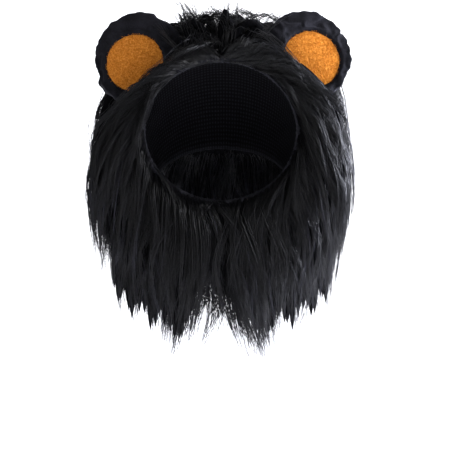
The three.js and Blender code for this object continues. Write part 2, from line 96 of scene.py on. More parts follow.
@dataclass(frozen=True)
class HoodShape:
    """The hood's inside: oval sections turned about a cross axis below the chin."""

    face_width: float = 104 * MM
    face_height: float = 94 * MM
    neck_width: float = 100 * MM
    neck_height: float = 92 * MM
    swell_width: float = 18 * MM
    swell_height: float = 24 * MM
    bend: float = math.radians(52)
    chin_reach: float = 36 * MM
    throat_reach: float = 29 * MM
    wall: float = 2 * MM
    seat_along: float = 0.28
    slit_width: float = 6 * MM

    def section(self, along: Points | float) -> tuple:
        """The oval at a share of the hood's length.

        Args:
            along: share of the length, 0 at the face opening and 1 at the neck opening.

        Returns:
            Half width, half height, and how far its middle is from the bend axis.
        """
        swell = np.sin(np.pi * np.clip(along, 0, 1))
        half_width = (mix(self.face_width, self.neck_width, along) + self.swell_width * swell) / 2
        half_height = (mix(self.face_height, self.neck_height, along) + self.swell_height * swell) / 2
        return half_width, half_height, mix(self.chin_reach, self.throat_reach, along) + half_height

    def from_axis(self, along: Points, around: Points, offset: Points | float) -> Points:
        """A point with the bend axis through the origin, as point gives it from the seat.

        Args:
            along: shares of the length.
            around: angles round the section, 0 at the top.
            offset: how far outside the inner surface.

        Returns:
            The points, one row each.
        """
        half_width, half_height, middle = self.section(along)
        reach = middle + (half_height + offset) * np.cos(around)
        turn = self.bend * along
        x = (half_width + offset) * np.sin(around)
        return np.stack(np.broadcast_arrays(x, reach * np.sin(turn), reach * np.cos(turn)), axis=-1)

    @property
    def seat(self) -> Points:
        """The crown's inside, which is the origin, seen from the bend axis."""
        return self.from_axis(self.seat_along, 0.0, 0.0)

    @property
    def face_middle(self) -> Points:
        """The middle of the face opening."""
        return np.array([0, 0, self.section(0.0)[2]]) - self.seat

    @property
    def slit_half_angle(self) -> float:
        """Half the throat slit's angle round the hood."""
        return self.slit_width / 2 / self.section(0.5)[0]

    def point(self, along: Points, around: Points, offset: Points | float = 0.0) -> Points:
        """Points on or off the hood's inside.

        Args:
            along: shares of the length.
            around: angles round the section, 0 at the top.
            offset: how far outside the inner surface.

        Returns:
            The points, one row each.
        """
        return self.from_axis(along, around, offset) - self.seat

    def axes(self, along: Points, around: Points) -> tuple:
        """Directions on the hood's surface.

        Args:
            along: shares of the length.
            around: angles round the section.

        Returns:
            Unit vectors outwards, down round the section, and back along the hood.
        """
        step = 0.01
        round_it = self.point(along, around + step) - self.point(along, around - step)
        back = unit(self.point(along + step, around) - self.point(along - step, around))
        out = unit(np.cross(round_it, back))
        down = unit(round_it) * np.where(around < 0, -1, 1)[..., None]
        return out, down, back

    def outside(self, points: Points, margin: Points) -> Points:
        """Moves points out of the hood, and out of the space before its face opening and below its neck.

        Args:
            points: where they are.
            margin: how far off the hood's outer side each one has to be.

        Returns:
            The points, those inside moved straight outwards.
        """
        p = points + self.seat
        x, y, z = p[..., 0], p[..., 1], p[..., 2]
        reach = self.wall + margin
        axial = y * math.cos(self.bend) - z * math.sin(self.bend)
        turn = np.arctan2(y, z)
        over = (y > 0) & (axial <= 0)
        along = np.where(y <= 0, 0.0, np.where(over, turn / self.bend, 1.0))
        half_width, half_height, middle = self.section(along)
        distance = np.hypot(y, z)
        deep = half_height * math.sin(self.bend) + reach
        centre = middle * math.sin(self.bend)
        up = np.where(over, distance - middle, np.where(y <= 0, z - middle, y - centre))
        tall = np.where((y > 0) & (axial > 0), deep, half_height + reach)
        share = np.minimum(np.hypot(x / (half_width + reach), up / tall), 1)
        share = np.maximum(share, 0.05)
        new_x, up = x / share, up / share
        ring = middle + up
        new_y = np.where(over, ring * np.sin(turn), np.where(y <= 0, y, centre + up))
        new_z = np.where(over, ring * np.cos(turn), np.where(y <= 0, middle + up, z))
        return np.stack([new_x, new_y, new_z], axis=-1) - self.seat


@dataclass(frozen=True)
class EarShape:
    """An ear's outline and place. Its own frame has X outwards, Z to the tip, front -Y, felt's middle at 0."""

    width: float = 68 * MM
    rise: float = 33 * MM
    drop: float = 27 * MM
    thickness: float = 14 * MM
    squareness: float = 2.3
    felt_radius: float = 21 * MM
    felt_offset: float = 4.8 * MM
    setback: float = 17 * MM
    lean: float = math.radians(44)
    tilt: float = math.radians(7)
    yaw: float = math.radians(8)
    front_margin: float = 2 * MM
    front_reach: float = 40 * MM
    spread: dict = field(default_factory=lambda: {Side.LEFT: 58.5 * MM, Side.RIGHT: 61 * MM})
    height: dict = field(default_factory=lambda: {Side.LEFT: 47 * MM, Side.RIGHT: 49 * MM})
    dents: dict = field(default_factory=lambda: {
        Side.LEFT: ((-68, 0.05, 8), (26, 0.035, 9), (64, 0.035, 8)),
        Side.RIGHT: ((-52, 0.035, 8), (4, 0.03, 9), (40, 0.02, 8), (74, 0.025, 9)),
    })

    def radius(self, angle: Points, side: Side) -> Points:
        """Distance of the edge from the ear's middle, dents included.

        Args:
            angle: from the tip, outwards positive.
            side: whose dents.

        Returns:
            The distances.
        """
        rise = np.where(np.cos(angle) > 0, self.rise, self.drop)
        wide = np.abs(np.sin(angle) / (self.width / 2)) ** self.squareness
        tall = np.abs(np.cos(angle) / rise) ** self.squareness
        degrees = np.degrees(angle)
        dent = sum(depth * np.exp(-(((degrees - at) / spread) ** 2)) for at, depth, spread in self.dents[side])
        return (wide + tall) ** (-1 / self.squareness) * (1 - dent)

    def place(self, side: Side, face_middle: Points) -> Matrix:
        """The matrix from the ear's frame to the wig's.

        Args:
            side: which ear.
            face_middle: the middle of the face opening.

        Returns:
            The matrix.
        """
        sign = side.value
        at = Vector(face_middle) + Vector((sign * self.spread[side], self.setback, self.height[side]))
        turn = Matrix.Rotation(sign * self.yaw, 4, "Z") @ Matrix.Rotation(-self.tilt, 4, "X")
        return Matrix.Translation(at) @ turn @ Matrix.Rotation(sign * self.lean, 4, "Y")

    def within(self, points: Points, side: Side, face_middle: Points, grow: float) -> tuple:
        """Which points lie within the ear's outline as seen from its front.

        Args:
            points: where they are, in the wig's frame.
            side: which ear.
            face_middle: the middle of the face opening.
            grow: how much larger than the ear the outline is taken.

        Returns:
            The ear's matrix, the points in the ear's frame, and whether each lies within.
        """
        matrix = np.array(self.place(side, face_middle))
        local = (points - matrix[:3, 3]) @ matrix[:3, :3]
        inward = side.value * local[..., 0] + self.felt_offset
        angle = np.arctan2(inward, local[..., 2])
        return matrix, local, np.hypot(inward, local[..., 2]) < self.radius(angle, side) + grow

    def aside(self, points: Points, side: Side, face_middle: Points, gap: float) -> Points:
        """Moves points that lie in the ear to just off its nearer face.

        Args:
            points: where they are, in the wig's frame.
            side: which ear.
            face_middle: the middle of the face opening.
            gap: how far off the ear they end.

        Returns:
            The points.
        """
        matrix, local, inside = self.within(points, side, face_middle, gap)
        thick = self.thickness / 2 + gap
        inside &= np.abs(local[..., 1]) < thick
        moved = local.copy()
        moved[..., 1] = np.where(local[..., 1] < 0, -thick, thick)
        return np.where(inside[..., None], moved @ matrix[:3, :3].T + matrix[:3, 3], points)

    def below_felt(self, points: Points, side: Side, face_middle: Points, chord: Points | float) -> Points:
        """Moves points that cross the ear's front down to a chord near its foot.

        Args:
            points: where they are, in the wig's frame.
            side: which ear.
            face_middle: the middle of the face opening.
            chord: how high the pile may lie on the ear, from the felt's middle.

        Returns:
            The points.
        """
        matrix, local, inside = self.within(points, side, face_middle, self.front_margin)
        inside &= (local[..., 1] < 0) & (local[..., 1] > -self.front_reach) & (local[..., 2] > chord)
        moved = local.copy()
        moved[..., 2] = chord - 0.12 * (local[..., 2] - chord)
        return np.where(inside[..., None], moved @ matrix[:3, :3].T + matrix[:3, 3], points)


HOOD = HoodShape()
EAR = EarShape()


def linear(colour: str) -> tuple[float, float, float, float]:
    """Turns an sRGB hex colour to linear numbers.

    Args:
        colour: six hex digits after a hash.

    Returns:
        Linear red, green, blue and an alpha of 1.
    """
    parts = [int(colour[i:i + 2], 16) / 255 for i in (1, 3, 5)]
    return (*[p / 12.92 if p <= 0.04045 else ((p + 0.055) / 1.055) ** 2.4 for p in parts], 1.0)


def feed(tree: bpy.types.NodeTree, node: bpy.types.Node, values: dict) -> None:
    """Gives a node's inputs their constants and links.

    Args:
        tree: the material's node tree.
        node: the node.
        values: by input name or number, a constant or the socket that it is linked from.
    """
    for name, value in values.items():
        if isinstance(value, bpy.types.NodeSocket):
            tree.links.new(value, node.inputs[name])
        else:
            node.inputs[name].default_value = value


def add_node(tree: bpy.types.NodeTree, kind: str, values: dict | None = None, **settings) -> bpy.types.Node:
    """Adds a shader node with its settings, values and links.

    Args:
        tree: the material's node tree.
        kind: the node's type.
        values: by input name or number, a constant or the socket that it is linked from.
        **settings: the node's own properties.

    Returns:
        The node.
    """
    node = tree.nodes.new(kind)
    for name, value in settings.items():
        setattr(node, name, value)
    feed(tree, node, values or {})
    return node


def ramp(node: bpy.types.Node, stops: list[tuple[float, str]]) -> bpy.types.NodeSocket:
    """Gives a Color Ramp its stops.

    Args:
        node: the Color Ramp.
        stops: places and hex colours, in order.

    Returns:
        Its colour output.
    """
    elements = node.color_ramp.elements
    while len(elements) < len(stops):
        elements.new(0.5)
    for element, (place, colour) in zip(elements, stops):
        element.position = place
        element.color = linear(colour)
    return node.outputs["Color"]


@dataclass(frozen=True)
class Finish:
    """A finish: what every material of the wig starts from."""

    name: str = "plain"

    def build(self) -> bpy.types.Material:
        """Makes the material once, and gives the same one again after that.

        Returns:
            The material.
        """
        made = bpy.data.materials.get(self.name)
        if made:
            return made
        made = bpy.data.materials.new(self.name)
        made.use_nodes = True
        tree = made.node_tree
        tree.nodes.clear()
        shader = add_node(tree, "ShaderNodeBsdfPrincipled")
        add_node(tree, "ShaderNodeOutputMaterial", {"Surface": shader.outputs["BSDF"]})
        self.dress(tree, shader)
        return made

    def dress(self, tree: bpy.types.NodeTree, shader: bpy.types.Node) -> None:
        """Gives the shader its colours and surface. Each finish has its own."""
        raise NotImplementedError


@dataclass(frozen=True)
class SyntheticPile(Finish):
    """Long modacrylic pile: smooth extruded fibres, so black ones show narrow cool highlights; the paler
    strands' blue-grey colour is partly a painted cool sheen too.
    """

    name: str = "modacrylic_pile"
    dark: str = "#020203"
    middle: str = "#070709"
    # The pale end is partly the strands' own random tone and partly a painted cool sheen.
    light: str = "#31313c"

    def dress(self, tree: bpy.types.NodeTree, shader: bpy.types.Node) -> None:
        """Each strand takes its own random shade, with painted shade darkening its root below its tip and a
        painted cool sheen in its paler tones.

        Args:
            tree: the material's node tree.
            shader: its Principled shader.
        """
        shade = add_node(tree, "ShaderNodeAttribute", attribute_name="shade")
        colours = add_node(tree, "ShaderNodeValToRGB", {"Fac": shade.outputs["Fac"]})
        feed(tree, shader, {
            "Base Color": ramp(colours, [(0.0, self.dark), (0.6, self.middle), (1.0, self.light)]),
            "Roughness": 0.36, "IOR": 1.33, "Sheen Weight": 0.02, "Sheen Tint": linear("#b8b8c8")})


@dataclass(frozen=True)
class DenseUndercoat(Finish):
    """The pile near its roots: matted, dull and almost black, because no light gets between the fibres."""

    name: str = "dense_undercoat"
    dark: str = "#030304"
    light: str = "#0d0d0f"
    # Real fibres are 0.05 mm thick, too fine to show, so the streaks stand for bundles of them.
    streak: float = 1.2 * MM
    stretch: float = 0.08

    def dress(self, tree: bpy.types.NodeTree, shader: bpy.types.Node) -> None:
        """Fine streaks of fibre down the locks.

        Args:
            tree: the material's node tree.
            shader: its Principled shader.
        """
        place = add_node(tree, "ShaderNodeTexCoord").outputs["Object"]
        drawn = add_node(tree, "ShaderNodeMapping", {"Vector": place, "Scale": (1, 1, self.stretch)})
        fibres = add_node(tree, "ShaderNodeTexNoise", {
            "Vector": drawn.outputs["Vector"], "Scale": 1 / self.streak, "Detail": 3.0})
        colours = add_node(tree, "ShaderNodeValToRGB", {"Fac": fibres.outputs["Fac"]})
        bump = add_node(tree, "ShaderNodeBump", {
            "Strength": 1.0, "Distance": 0.5 * MM, "Height": fibres.outputs["Fac"]})
        feed(tree, shader, {
            "Base Color": ramp(colours, [(0.35, self.dark), (0.7, self.light)]),
            "Roughness": 0.9, "IOR": 1.08, "Normal": bump.outputs["Normal"]})


@dataclass(frozen=True)
class ShortPlush(Finish):
    """Short knitted plush: a cut pile about a millimetre high, dull, with paler crushed patches and edges."""

    name: str = "short_plush"
    dark: str = "#0d0d0f"
    light: str = "#1f1f24"
    # Single fibres of the nap would be too fine to show: this is the width of a tuft of them.
    nap: float = 0.7 * MM
    patch: float = 9 * MM

    def dress(self, tree: bpy.types.NodeTree, shader: bpy.types.Node) -> None:
        """Nap as fine bump, crushed patches as a slow change of colour.

        Args:
            tree: the material's node tree.
            shader: its Principled shader.
        """
        place = add_node(tree, "ShaderNodeTexCoord").outputs["Object"]
        patches = add_node(tree, "ShaderNodeTexNoise", {
            "Vector": place, "Scale": 1 / self.patch, "Detail": 3.0})
        nap = add_node(tree, "ShaderNodeTexNoise", {"Vector": place, "Scale": 1 / self.nap, "Detail": 2.0})
        both = add_node(tree, "ShaderNodeMix", {
            "Factor": 0.35, "A": patches.outputs["Fac"], "B": nap.outputs["Fac"]})
        colours = add_node(tree, "ShaderNodeValToRGB", {"Fac": both.outputs["Result"]})
        bump = add_node(tree, "ShaderNodeBump", {
            "Strength": 0.6, "Distance": self.nap * 0.6, "Height": nap.outputs["Fac"]})
        feed(tree, shader, {
            "Base Color": ramp(colours, [(0.3, self.dark), (0.75, self.light)]),
            "Roughness": 0.92, "IOR": 1.15, "Normal": bump.outputs["Normal"],
            "Sheen Weight": 0.12, "Sheen Roughness": 0.45, "Sheen Tint": linear("#9a9aa8")})


@dataclass(frozen=True)
class FleeceFelt(Finish):
    """Brushed fleece felt: matted fibres in one orange, mottled darker as painted shade where they lie deeper
    and paler as painted light on the tufts, with a soft edge.
    """

    name: str = "fleece_felt"
    # The darkest stop is painted shade in the felt's hollows and the palest is partly painted light on its
    # tufts; main is the felt's own orange.
    deep: str = "#8c4a12"
    main: str = "#c57827"
    pale_and_lit: str = "#e8a24c"
    tuft: float = 1.0 * MM
    # Real felt fibres are 0.03 mm thick, too fine to show, and are drawn about ten times as coarse.
    fibre: float = 0.35 * MM

    def dress(self, tree: bpy.types.NodeTree, shader: bpy.types.Node) -> None:
        """Tufts mottle the colour, with painted shade in the bump's hollows and painted light on its heights,
        and fibres pulled through the tufts give the bump.

        Args:
            tree: the material's node tree.
            shader: its Principled shader.
        """
        place = add_node(tree, "ShaderNodeTexCoord").outputs["Object"]
        tufts = add_node(tree, "ShaderNodeTexNoise", {
            "Vector": place, "Scale": 1 / self.tuft, "Detail": 4.0, "Distortion": 0.8})
        fibres = add_node(tree, "ShaderNodeTexNoise", {
            "Vector": place, "Scale": 1 / self.fibre, "Detail": 2.0, "Distortion": 2.5})
        both = add_node(tree, "ShaderNodeMix", {
            "Factor": 0.4, "A": tufts.outputs["Fac"], "B": fibres.outputs["Fac"]})
        colours = add_node(tree, "ShaderNodeValToRGB", {"Fac": both.outputs["Result"]})
        bump = add_node(tree, "ShaderNodeBump", {
            "Strength": 0.8, "Distance": 0.4 * MM, "Height": both.outputs["Result"]})
        feed(tree, shader, {
            "Base Color": ramp(colours, [(0.32, self.deep), (0.5, self.main), (0.68, self.pale_and_lit)]),
            "Roughness": 1.0, "IOR": 1.2, "Normal": bump.outputs["Normal"],
            "Sheen Weight": 0.1, "Sheen Tint": linear("#ffb060")})


@dataclass(frozen=True)
class KnitBacking(Finish):
    """Warp-knit backing of the pile cloth, inside out: fine black ribs that catch a little light."""

    name: str = "warp_knit_backing"
    dark: str = "#040405"
    light: str = "#1a1a1e"
    # Real ribs and stitches are under 1 mm apart, too fine to show, so both are drawn coarser.
    rib: float = 2.4 * MM
    stitch: float = 1.8 * MM

    def dress(self, tree: bpy.types.NodeTree, shader: bpy.types.Node) -> None:
        """Ribs along the hood and stitches across them, both from the hood's own map in metres.

        Args:
            tree: the material's node tree.
            shader: its Principled shader.
        """
        place = add_node(tree, "ShaderNodeUVMap", uv_map="cloth").outputs["UV"]
        ribs, stitches = (
            add_node(tree, "ShaderNodeTexWave", {
                "Vector": place, "Scale": math.pi / 10 / pitch, "Distortion": wander, "Detail": 1.0},
                bands_direction=way)
            for pitch, wander, way in ((self.rib, 0.6, "X"), (self.stitch, 1.0, "Y")))
        knit = add_node(tree, "ShaderNodeMath", {
            0: ribs.outputs["Fac"], 1: stitches.outputs["Fac"]}, operation="MULTIPLY")
        colours = add_node(tree, "ShaderNodeValToRGB", {"Fac": knit.outputs["Value"]})
        bump = add_node(tree, "ShaderNodeBump", {
            "Strength": 0.7, "Distance": 0.3 * MM, "Height": knit.outputs["Value"]})
        feed(tree, shader, {
            "Base Color": ramp(colours, [(0.0, self.dark), (1.0, self.light)]),
            "Roughness": 0.9, "IOR": 1.12, "Normal": bump.outputs["Normal"]})


@dataclass(frozen=True)
class HookTape(Finish):
    """Woven nylon closing tape: a slightly glossy black ground with rows of small hooks."""

    name: str = "woven_hook_tape"
    dark: str = "#09090a"
    light: str = "#222226"
    pitch: float = 1.5 * MM

    def dress(self, tree: bpy.types.NodeTree, shader: bpy.types.Node) -> None:
        """Hooks as raised cells on a darker ground, their heads drawn paler as painted light.

        Args:
            tree: the material's node tree.
            shader: its Principled shader.
        """
        place = add_node(tree, "ShaderNodeTexCoord").outputs["Object"]
        hooks = add_node(tree, "ShaderNodeTexVoronoi", {
            "Vector": place, "Scale": 1 / self.pitch, "Randomness": 0.3})
        colours = add_node(tree, "ShaderNodeValToRGB", {"Fac": hooks.outputs["Distance"]})
        bump = add_node(tree, "ShaderNodeBump", {
            "Strength": 0.8, "Distance": 0.5 * MM, "Height": hooks.outputs["Distance"]}, invert=True)
        # The paler stop at the hooks' raised heads is painted light.
        feed(tree, shader, {
            "Base Color": ramp(colours, [(0.15, self.light), (0.6, self.dark)]),
            "Roughness": 0.55, "Normal": bump.outputs["Normal"]})


@dataclass(frozen=True)
class SeamlessPaper(Finish):
    """White studio background paper: matt, evenly lit up to white."""

    name: str = "seamless_paper"
    shaded: str = "#f6f6f7"
    colour: str = "#fbfbfc"
    grain: float = 2 * MM
    glow: float = 0.7

    def dress(self, tree: bpy.types.NodeTree, shader: bpy.types.Node) -> None:
        """A matt sheet with a little light of its own in place of the lamps behind it.

        Args:
            tree: the material's node tree.
            shader: its Principled shader.
        """
        place = add_node(tree, "ShaderNodeTexCoord").outputs["Object"]
        grain = add_node(tree, "ShaderNodeTexNoise", {"Vector": place, "Scale": 1 / self.grain, "Detail": 2.0})
        colours = add_node(tree, "ShaderNodeValToRGB", {"Fac": grain.outputs["Fac"]})
        feed(tree, shader, {
            "Base Color": ramp(colours, [(0.0, self.shaded), (1.0, self.colour)]), "Roughness": 1.0,
            "Emission Color": linear(self.colour), "Emission Strength": self.glow})


def deselect() -> None:
    """Leaves nothing selected, in object mode."""
    if bpy.context.object and bpy.context.object.mode != "OBJECT":
        bpy.ops.object.mode_set(mode="OBJECT")
    bpy.ops.object.select_all(action="DESELECT")


def only(piece: bpy.types.Object) -> None:
    """Selects one piece alone and makes it active.

    Args:
        piece: the piece.
    """
    deselect()
    piece.select_set(True)
    bpy.context.view_layer.objects.active = piece


@contextmanager
def editing(select: bool = False) -> Iterator[None]:
    """Edit mode for the active piece, with all of it selected if wanted, left again at the end.

    Args:
        select: whether all of the piece is selected first.

    Yields:
        Nothing, while edit mode lasts.
    """
    bpy.ops.object.mode_set(mode="EDIT")
    if select:
        bpy.ops.mesh.select_all(action="SELECT")
    yield
    bpy.ops.object.mode_set(mode="OBJECT")


def apply_place() -> None:
    """Puts the selected piece's place, turn and scale in its mesh."""
    bpy.ops.object.transform_apply(location=True, rotation=True, scale=True)


def select_by(piece: bpy.types.Object, kind: str, test: Callable[[Vector], bool]) -> None:
    """Selects faces, edges or vertices by their place, with the piece in edit mode.

    Args:
        piece: the piece, in edit mode.
        kind: "FACE", "EDGE" or "VERT".
        test: says for a place in the piece's mesh whether it is selected.
    """
    bpy.ops.mesh.select_mode(type=kind)
    bpy.ops.mesh.select_all(action="DESELECT")
    mesh = bmesh.from_edit_mesh(piece.data)
    places = {
        "FACE": lambda: [(f, f.calc_center_median()) for f in mesh.faces],
        "EDGE": lambda: [(e, (e.verts[0].co + e.verts[1].co) / 2) for e in mesh.edges],
        "VERT": lambda: [(v, v.co) for v in mesh.verts],
    }[kind]()
    for element, place in places:
        element.select = bool(test(place))
    mesh.select_flush_mode()
    bmesh.update_edit_mesh(piece.data)


def coordinates(piece: bpy.types.Object) -> Points:
    """All of a mesh piece's vertices, one row each.

    Args:
        piece: the piece.

    Returns:
        The places, in the mesh's own frame.
    """
    values = np.empty(len(piece.data.vertices) * 3, np.float32)
    piece.data.vertices.foreach_get("co", values)
    return values.reshape(-1, 3).astype(float)


def reshape(piece: bpy.types.Object, places: Points) -> None:
    """Moves a mesh piece's vertices to new places."""
    piece.data.vertices.foreach_set("co", np.ascontiguousarray(places, np.float32).ravel())
    piece.data.update()


def apply_modifiers(piece: bpy.types.Object) -> None:
    """Applies a piece's modifiers in their order.

    Args:
        piece: the piece.
    """
    only(piece)
    for modifier in list(piece.modifiers):
        bpy.ops.object.modifier_apply(modifier=modifier.name)


def refine(piece: bpy.types.Object) -> None:
    """Adds one subdivision to a piece and applies its modifiers.

    Args:
        piece: the piece.
    """
    finer = piece.modifiers.new("finer", "SUBSURF")
    finer.levels = finer.render_levels = 1
    apply_modifiers(piece)


def finish_piece(piece: bpy.types.Object, name: str, finish: Finish) -> bpy.types.Object:
    """Names and dresses a piece, turns its faces outwards and lets it ride.

    Args:
        piece: the modelled piece.
        name: its name.
        finish: its finish.

    Returns:
        The piece.
    """
    only(piece)
    apply_place()
    with editing(select=True):
        bpy.ops.mesh.normals_make_consistent(inside=False)
    bpy.ops.object.shade_smooth()
    piece.name = piece.data.name = name
    piece.data.materials.clear()
    piece.data.materials.append(finish.build())
    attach(piece, BODY)
    log.info("%s: %d faces", name, len(piece.data.polygons))
    return piece


def waves(angle: Points, counts: tuple[int, ...], seed: int) -> Points:
    """A closed uneven wave round a ring.

    Args:
        angle: where on the ring.
        counts: how many waves each part of the sum has.
        seed: which draw of phases and sizes.

    Returns:
        The wave's height, from about -1 to 1.
    """
    draw = np.random.default_rng(seed)
    total = np.zeros_like(angle)
    for count in counts:
        total += draw.uniform(0.6, 1.0) * np.sin(count * angle + draw.uniform(0, 2 * math.pi))
    return total / len(counts)


@dataclass
class ClothHood:
    """The hood's cloth, seen from inside: pile cloth with its knit side in, slit at the throat."""

    shape: HoodShape = HOOD
    rings: int = 22
    stations: int = 96
    wall: float = 1.6 * MM
    pucker: float = 0.5 * MM
    lift: float = 0.3 * MM
    turn_width: float = 8 * MM
    # The turned edge's rings: how far past the neck in shares of its width, how high in shares of two walls.
    turn: tuple = ((0.12, 0.5), (0.0, 1.0), (-0.5, 1.0), (-1.0, 1.0))

    def build(self) -> bpy.types.Object:
        """Extrudes the face opening's oval ring by ring to the neck and turns its edge over, outwards.

        Returns:
            The hood.
        """
        deselect()
        bpy.ops.mesh.primitive_circle_add(vertices=self.stations, radius=self.shape.face_width / 2)
        hood = bpy.context.object
        with editing():
            select_by(hood, "EDGE", lambda p: p.y < -self.shape.face_width * 0.49 and abs(p.x) < 2 * MM)
            bpy.ops.mesh.delete(type="EDGE")
            bpy.ops.mesh.select_all(action="SELECT")
            for _ in range(self.rings + len(self.turn)):
                bpy.ops.mesh.extrude_edges_move(TRANSFORM_OT_translate={"value": (0, 0, MM)})
        self.drape(hood)
        self.map_cloth(hood)
        wall = hood.modifiers.new("wall", "SOLIDIFY")
        wall.thickness = self.wall
        wall.offset = 1
        refine(hood)
        return self.declare(hood)

    def drape(self, hood: bpy.types.Object) -> None:
        """Lays the extruded grid on the hood's form, with small puckers where the seams draw it in.

        Args:
            hood: the grid, a ring each millimetre up.
        """
        flat = coordinates(hood)
        around = np.arctan2(flat[:, 0], flat[:, 1])
        limit = math.pi - self.shape.slit_half_angle
        around = around * limit / np.abs(around).max()
        ring = np.rint(flat[:, 2] / MM).astype(int)
        along = np.clip(ring / self.rings, 0, 1)
        edge = np.exp(-along * 14) + np.exp(-(1 - along) * 14)
        pucker = self.pucker * (0.35 + edge) * waves(around, (29, 37, 53), 3)
        pucker += self.pucker * waves(around + along * 4, (5, 7, 11), 4)
        half_width, half_height, middle = self.shape.section(1.0)
        back, rise = np.array([(0.0, 0.0), *self.turn])[np.maximum(ring - self.rings, 0)].T
        share = self.turn_width / (self.shape.bend * (middle + half_height))
        offset = self.lift + pucker - self.pucker * 0.4 + rise * 2 * self.wall
        reshape(hood, self.shape.point(along + back * share, around, offset))
        self.grid = (ring / self.rings, around)

    def map_cloth(self, hood: bpy.types.Object) -> None:
        """A map in metres: across is round the hood, up is along it.

        Args:
            hood: the draped grid.
        """
        along, around = self.grid
        layer = hood.data.uv_layers.new(name="cloth")
        loops = np.array([loop.vertex_index for loop in hood.data.loops])
        across = around[loops] * self.shape.section(0.5)[0]
        up = along[loops] * self.shape.bend * self.shape.section(0.5)[2]
        layer.data.foreach_set("uv", np.stack([across, up], 1).astype(np.float32).ravel())

    def declare(self, hood: bpy.types.Object) -> bpy.types.Object:
        """Dresses the cloth and hides the CAD hood that it stands for; it also works out the cloth's area and
        width, which nothing uses.

        Args:
            hood: the finished cloth.

        Returns:
            The hood.
        """
        finish_piece(hood, "hood_cloth", KnitBacking())
        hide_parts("hood")
        mesh = bmesh.new()
        mesh.from_mesh(hood.data)
        area = sum(face.calc_area() for face in mesh.faces) / 2
        mesh.free()
        width = 2 * math.pi * self.shape.section(0.5)[0]
        return hood


@dataclass
class FaceHem:
    """The rolled hem round the face opening: plush gathered over elastic."""

    shape: HoodShape = HOOD
    depth: float = 8 * MM
    thickness: float = 5 * MM
    gap: float = 0.3 * MM
    gathers: int = 84
    gather_depth: float = 0.42 * MM
    major: int = 420
    minor: int = 16

    def build(self) -> bpy.types.Object:
        """Makes an oval ring, opens it at the slit, closes its ends and gathers it.

        Returns:
            The hem.
        """
        radius = (self.shape.face_width + self.shape.wall) / 2
        tall = (self.shape.face_height + self.shape.wall) / 2
        deselect()
        bpy.ops.mesh.primitive_torus_add(
            major_segments=self.major, minor_segments=self.minor, major_radius=radius,
            minor_radius=self.thickness / 2, rotation=(math.pi / 2, 0, 0))
        hem = bpy.context.object
        apply_place()
        with editing(select=True):
            bpy.ops.transform.resize(value=(1, self.depth / self.thickness, tall / radius))
            bpy.ops.mesh.select_all(action="DESELECT")
            select_by(hem, "FACE", lambda p: p.z < 0 and abs(p.x) < self.shape.slit_width / 2)
            bpy.ops.mesh.delete(type="FACE")
            bpy.ops.mesh.select_all(action="DESELECT")
            bpy.ops.mesh.select_mode(type="EDGE")
            bpy.ops.mesh.select_non_manifold()
            bpy.ops.mesh.edge_face_add()
        self.gather(hem, radius, tall)
        finish_piece(hem, "face_hem_roll", ShortPlush())
        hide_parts("face_hem")
        return hem

    def gather(self, hem: bpy.types.Object, radius: float, tall: float) -> None:
        """Draws the roll in and out with uneven gathers and sets it before the hood's edge.

        Args:
            hem: the roll.
            radius: half the width of the roll's middle line.
            tall: half its height.
        """
        places = coordinates(hem)
        around = np.arctan2(places[:, 0] / radius, places[:, 2] / tall)
        spine = np.stack([radius * np.sin(around), np.zeros_like(around), tall * np.cos(around)], 1)
        uneven = around + 0.012 * waves(around, (7, 11, 17), 11)
        pleat = waves(uneven, (self.gathers,), 12) * (0.7 + 0.3 * waves(around, (5, 9), 13))
        swell = 0.05 * waves(around, (3, 8, 13), 14)
        away = places - spine
        share = 1 + swell + pleat * self.gather_depth / (self.thickness / 2)
        inner = smooth(-(away * unit(spine)).sum(1), 0, self.thickness / 2)
        away = away * (share - 0.12 * inner)[:, None]
        at = Vector(self.shape.face_middle) - Vector((0, self.gap + self.depth / 2, 0))
        reshape(hem, spine + away + np.array(at))


